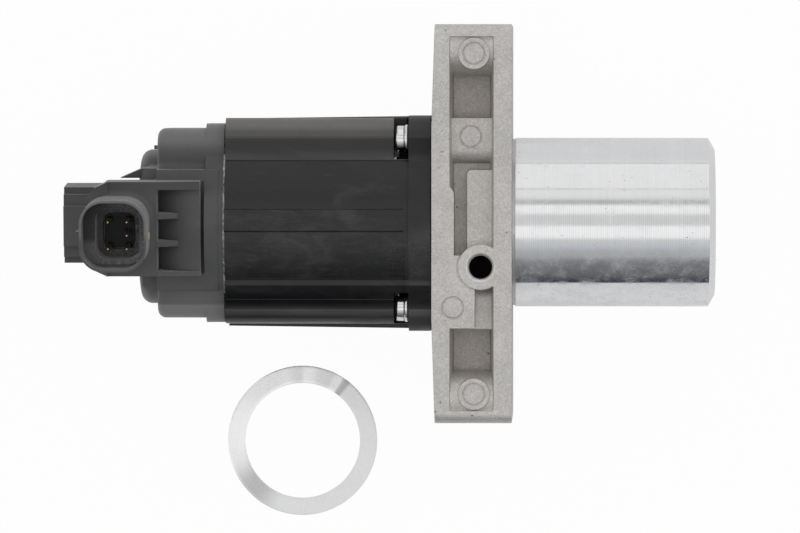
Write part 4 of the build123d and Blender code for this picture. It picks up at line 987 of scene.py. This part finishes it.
def soften(piece: bpy.types.Object, width: float, clamp: bool, segments: int = 2, sharp: float = 32.0) -> None:
    """Rounds a piece's sharp edges and shades it smooth.

    Args:
        piece: The object.
        width: The rounding's width.
        clamp: Whether the rounding gives way where edges lie close.
        segments: How many faces go across it.
        sharp: The least angle of an edge that is rounded.
    """
    apply_modifier(
        piece, "BEVEL", width=width * MM, segments=segments, limit_method="ANGLE", angle_limit=math.radians(sharp),
        use_clamp_overlap=clamp, miter_outer="MITER_ARC", loop_slide=False,
    )
    smooth(piece, SMOOTH_UNDER)
    apply_modifier(piece, "WEIGHTED_NORMAL", keep_sharp=True, weight=EVEN_WEIGHT)


# Sub-assemblies


@dataclass
class SoftenedNodes:
    """CAD nodes whose shape is right once their edges are rounded."""

    wardrobe: Wardrobe
    widths: tuple[tuple[str, float], ...] = (
        ("flange_housing", 0.22), ("barrel", 0.12), ("actuator_housing", 0.2), ("end_cap", 0.2),
        ("screw_washers", 0.5), ("housing_screws", 0.35), ("poppet", 0.1), ("valve_seat", 0.1),
    )
    clamped: tuple[str, ...] = ("screw_washers", "housing_screws", "end_cap", "actuator_housing")

    def build(self) -> list[bpy.types.Object]:
        """Copies each node, rounds its edges and lets the copy stand for it.

        Returns:
            The new pieces.
        """
        pieces = []
        for node, width in self.widths:
            piece = copy_of_node(node, f"{node}_finished")
            soften(piece, width, clamp=node in self.clamped)
            slot = self.wardrobe.slots[node]
            self.wardrobe.wear(piece, slot)
            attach(piece, frame["nodes"][node]["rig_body"])
            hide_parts(node)
            pieces.append(piece)
        return pieces


@dataclass
class Springs:
    """The valve's two springs."""

    wardrobe: Wardrobe
    travel: float = 8.0

    def copy_of(self, node: str) -> bpy.types.Object:
        """A copy that stands for one spring.

        Args:
            node: The spring's CAD node.

        Returns:
            The new piece.
        """
        piece = copy_of_node(node, f"{node}_finished")
        smooth(piece, SHEET_SMOOTH_UNDER)
        self.wardrobe.wear(piece, self.wardrobe.slots[node])
        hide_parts(node)
        return piece

    def build(self) -> list[bpy.types.Object]:
        """Copies the return spring onto the housing with a mesh of its own, and the plunger's spring with its place
        baked into its mesh.

        Returns:
            The new pieces.
        """
        piece = self.copy_of("return_spring")
        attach(piece, "housing")
        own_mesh(piece)
        follower = self.copy_of("plunger_spring")
        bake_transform(follower)
        return [piece, follower]


@dataclass
class SeamBead:
    """Sealant squeezed out between the housing and its end cap."""

    wardrobe: Wardrobe
    mesh_size: float = 0.22
    lump_size: float = 1.6
    lump_height: float = 0.6
    lump_middle: float = 0.38

    def build(self) -> list[bpy.types.Object]:
        """Copies the gasket, cuts it fine and lets its surface wander.

        Returns:
            The new piece.
        """
        piece = copy_of_node("cap_gasket", "seam_bead")
        apply_modifier(piece, "REMESH", mode="VOXEL", voxel_size=self.mesh_size * MM)
        lumps = bpy.data.textures.new("lumps", "CLOUDS")
        lumps.noise_scale = self.lump_size * MM
        lumps.noise_depth = 2
        apply_modifier(
            piece, "DISPLACE", texture=lumps, texture_coords="LOCAL", strength=self.lump_height * MM,
            mid_level=self.lump_middle,
        )
        bpy.ops.object.shade_smooth()
        self.wardrobe.wear(piece, "gasket_grey")
        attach(piece, frame["nodes"]["cap_gasket"]["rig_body"])
        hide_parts("cap_gasket")
        return [piece]


@dataclass
class WaveWasher:
    """The loose wave washer, with the sharper fold that the photograph shows."""

    wardrobe: Wardrobe
    inner_radius: float = 17.7
    outer_radius: float = 23.0
    sheet: float = 0.5
    level: float = -32.2
    wave_height: float = 0.42
    wave_count: int = 3
    wave_turn: float = 20.0
    fold_at: float = 54.0
    fold_height: float = 0.13
    fold_width: float = 2.4
    fold_reach: float = 14.0
    flat_share: float = 0.2
    flat_reach: float = 12.0
    edge: float = 0.06
    edge_sharp: float = 60.0
    steps: int = 300
    rings: int = 6

    def height(self, turn: float) -> float:
        """The sheet's middle above its level.

        Args:
            turn: The angle about the washer's middle.

        Returns:
            The height.
        """
        wave = self.wave_height * math.cos(self.wave_count * math.radians(turn - self.wave_turn))
        away = (turn - self.fold_at + 180.0) % 360.0 - 180.0
        fold = self.fold_height * math.tanh(away / self.fold_width) * math.exp(-(away / self.fold_reach) ** 2)
        return wave * (1 - self.flat_share * math.exp(-(away / self.flat_reach) ** 2)) + fold

    def build(self) -> list[bpy.types.Object]:
        """Spins a flat ring, bends it and gives it its sheet's thickness.

        Returns:
            The new piece.
        """
        bpy.ops.object.select_all(action="DESELECT")
        bpy.ops.mesh.primitive_circle_add(vertices=self.steps, radius=self.inner_radius * MM)
        piece = bpy.context.active_object
        piece.name = "wave_washer_finished"
        piece.data.name = piece.name
        bpy.ops.object.mode_set(mode="EDIT")
        bpy.ops.mesh.select_all(action="SELECT")
        width = (self.outer_radius - self.inner_radius) / self.rings
        for ring in range(self.rings):
            radius = self.inner_radius + width * ring
            growth = (radius + width) / radius
            bpy.ops.mesh.extrude_edges_move()
            bpy.ops.transform.resize(value=(growth, growth, 1.0))
        bpy.ops.mesh.select_all(action="SELECT")
        bpy.ops.mesh.normals_make_consistent(inside=False)
        bpy.ops.object.mode_set(mode="OBJECT")
        for vertex in piece.data.vertices:
            turn = math.degrees(math.atan2(vertex.co.y, vertex.co.x))
            vertex.co.z = self.height(turn) * MM
            vertex.co += Vector((*WASHER_CENTRE, self.level)) * MM
        if piece.data.polygons[0].normal.z < 0:
            piece.data.flip_normals()
        apply_modifier(piece, "SOLIDIFY", thickness=self.sheet * MM, offset=0.0)
        sharp = math.radians(self.edge_sharp)
        apply_modifier(piece, "BEVEL", width=self.edge * MM, segments=2, limit_method="ANGLE", angle_limit=sharp)
        smooth(piece, SHEET_SMOOTH_UNDER)
        self.wardrobe.wear(piece, "bright_spring_steel")
        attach(piece, "washer")
        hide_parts("wave_washer")
        return [piece]


@dataclass
class Studio:
    """The floor, the light and the camera of the photograph."""

    frame_width_px: int = 800
    axis_row_px: float = 222.0
    face_column_px: float = 512.5
    px_per_mm: float = 3.3
    frame_centre_px: Pair = (400.0, 266.5)
    camera_over: Triple = (13.2, 33.9, 1930.0)
    sensor: float = 36.0
    clip_end_m: float = 20.0
    floor_side_m: float = 9.0
    floor_colours: tuple[Triple, Triple] = ((0.86, 0.86, 0.86), (0.9, 0.9, 0.9))
    floor_seen: float = 0.97
    floor_mirrored: float = 0.37
    near_y: Pair = (-5.0, -30.0)
    near_share: float = 0.07
    far_y: Pair = (-50.0, -330.0)
    far_share: float = 0.13
    # Places on the arc from the photograph's lower edge, at 0.25, over the top, at 0.5, to its upper edge, at 0.75
    tent_stops: tuple[tuple[float, Triple | float], ...] = (
        (0.25, (0.03, 0.038, 0.056)), (0.264, (0.065, 0.073, 0.092)), (0.282, (0.14, 0.144, 0.156)),
        (0.30, (0.17, 0.175, 0.182)), (0.33, (0.205, 0.21, 0.225)), (0.352, (0.28, 0.29, 0.31)),
        (0.37, (0.47, 0.475, 0.485)), (0.392, (0.52, 0.53, 0.54)), (0.41, (0.66, 0.69, 0.73)), (0.434, 0.76),
        (0.447, 1.14), (0.484, 1.16), (0.493, 0.8), (0.527, 0.8), (0.538, 1.1), (0.564, 1.16), (0.572, 0.62),
        (0.582, 0.6), (0.594, 0.93), (0.606, 1.0), (0.626, 1.0), (0.636, 0.58), (0.735, 0.58), (0.752, 0.9),
        (0.9, 0.8),
    )
    tent_strength: float = 0.88
    lamp_power_w: float = 1.3
    lamp_size_m: float = 1.0
    lamp_at_m: Triple = (0.1, 1.3, 0.55)
    lamp_aim_m: Triple = (-0.03, 0.0, 0.0)

    def floor(self) -> None:
        """A pale floor; what metal mirrors of it is brightest just below the valve and darker farther out."""
        bpy.ops.object.select_all(action="DESELECT")
        bpy.ops.mesh.primitive_plane_add(size=self.floor_side_m, location=(0, 0, cad_box[0][2]))
        floor = bpy.context.active_object
        floor.name = "floor"
        bpy.ops.object.transform_apply(location=True, rotation=True, scale=True)
        desk = Desk("floor_paper")
        colour = desk.mix(desk.noise(2.5, 3.0), *self.floor_colours)
        matt = add_node(desk.tree, "ShaderNodeBsdfDiffuse", None, {"Color": colour})
        glow = add_node(desk.tree, "ShaderNodeEmission", None, {"Color": (1.0, 1.0, 1.0), "Strength": 1.0})
        camera, glossy, through = (
            add_node(desk.tree, "ShaderNodeLightPath", output=name)
            for name in ("Is Camera Ray", "Is Glossy Ray", "Is Transmission Ray")
        )
        near = desk.along(Axis.Y).step(*self.near_y)
        far = desk.along(Axis.Y).step(*self.far_y)
        mirrored = self.floor_mirrored + near * self.near_share - far * self.far_share
        seen = (camera * self.floor_seen + glossy * mirrored + through * self.floor_seen).clamp()
        surface = add_node(desk.tree, "ShaderNodeMixShader", None, {0: seen, 1: matt, 2: glow})
        add_node(desk.tree, "ShaderNodeOutputMaterial", None, {"Surface": surface})
        floor.data.materials.append(desk.material)

    def tent(self) -> None:
        """A tent of soft light: bright overhead and behind, darker towards the photograph's lower edge."""
        world = bpy.data.worlds.new("tent")
        bpy.context.scene.world = world
        world.use_nodes = True
        tree = world.node_tree
        tree.nodes.clear()
        direction = add_node(tree, "ShaderNodeTexCoord", output="Generated")
        y = add_node(tree, "ShaderNodeSeparateXYZ", None, {0: direction}, 1)
        z = add_node(tree, "ShaderNodeSeparateXYZ", None, {0: direction}, 2)
        lean = (y.math("ARCTAN2", z) / math.pi) * 0.5 + 0.5
        tent = add_node(tree, "ShaderNodeValToRGB", {"stops": self.tent_stops}, {0: lean})
        light = add_node(tree, "ShaderNodeBackground", None, {"Color": tent, "Strength": self.tent_strength})
        white = add_node(tree, "ShaderNodeBackground", None, {"Color": (1.0, 1.0, 1.0), "Strength": 1.0})
        camera = add_node(tree, "ShaderNodeLightPath", output="Is Camera Ray")
        mixed = add_node(tree, "ShaderNodeMixShader", None, {0: camera, 1: light, 2: white})
        add_node(tree, "ShaderNodeOutputWorld", None, {"Surface": mixed})

    def lamp(self) -> None:
        """A weak lamp beyond the photograph's upper edge, which gives the valve a soft shadow."""
        data = bpy.data.lights.new("key", "AREA")
        data.energy = self.lamp_power_w
        data.size = self.lamp_size_m
        lamp = bpy.data.objects.new("key", data)
        bpy.context.scene.collection.objects.link(lamp)
        lamp.location = self.lamp_at_m
        aim = Vector(self.lamp_aim_m) - lamp.location
        lamp.rotation_euler = aim.to_track_quat("-Z", "Y").to_euler()

    def camera(self) -> None:
        """The photograph's camera, worked out from two marks on the picture and its scale."""
        data = bpy.data.cameras.new("camera")
        camera = bpy.data.objects.new("camera", data)
        bpy.context.scene.collection.objects.link(camera)
        bpy.context.scene.camera = camera
        aim = Vector((
            (self.frame_centre_px[0] - self.face_column_px) / self.px_per_mm * MM,
            (self.axis_row_px - self.frame_centre_px[1]) / self.px_per_mm * MM, 0.0,
        ))
        camera.location = Vector(self.camera_over) * MM
        line = aim - camera.location
        back = -line.normalized()
        right = Vector((0.0, 1.0, 0.0)).cross(back).normalized()
        camera.rotation_euler = Matrix((right, back.cross(right), back)).transposed().to_euler()
        data.sensor_width = self.sensor
        data.lens = self.sensor * line.length / (self.frame_width_px / self.px_per_mm * MM)
        data.clip_end = self.clip_end_m

    def build(self) -> None:
        """Sets up floor, light and camera."""
        bpy.context.scene.view_settings.view_transform = "Standard"
        self.floor()
        self.tent()
        self.lamp()
        self.camera()


def main() -> None:
    """Builds the valve's looks in order and reports each new piece."""
    logging.basicConfig(level=logging.INFO, format="%(message)s")
    Studio().build()
    wardrobe = Wardrobe()
    for name, node in frame["nodes"].items():
        wardrobe.wear(node, wardrobe.slots[name])
    for assembly in (SoftenedNodes(wardrobe), Springs(wardrobe), SeamBead(wardrobe), WaveWasher(wardrobe)):
        for piece in assembly.build():
            log.info("%s: %d faces", piece.name, len(piece.data.polygons))


if __name__ == "__main__":
    main()
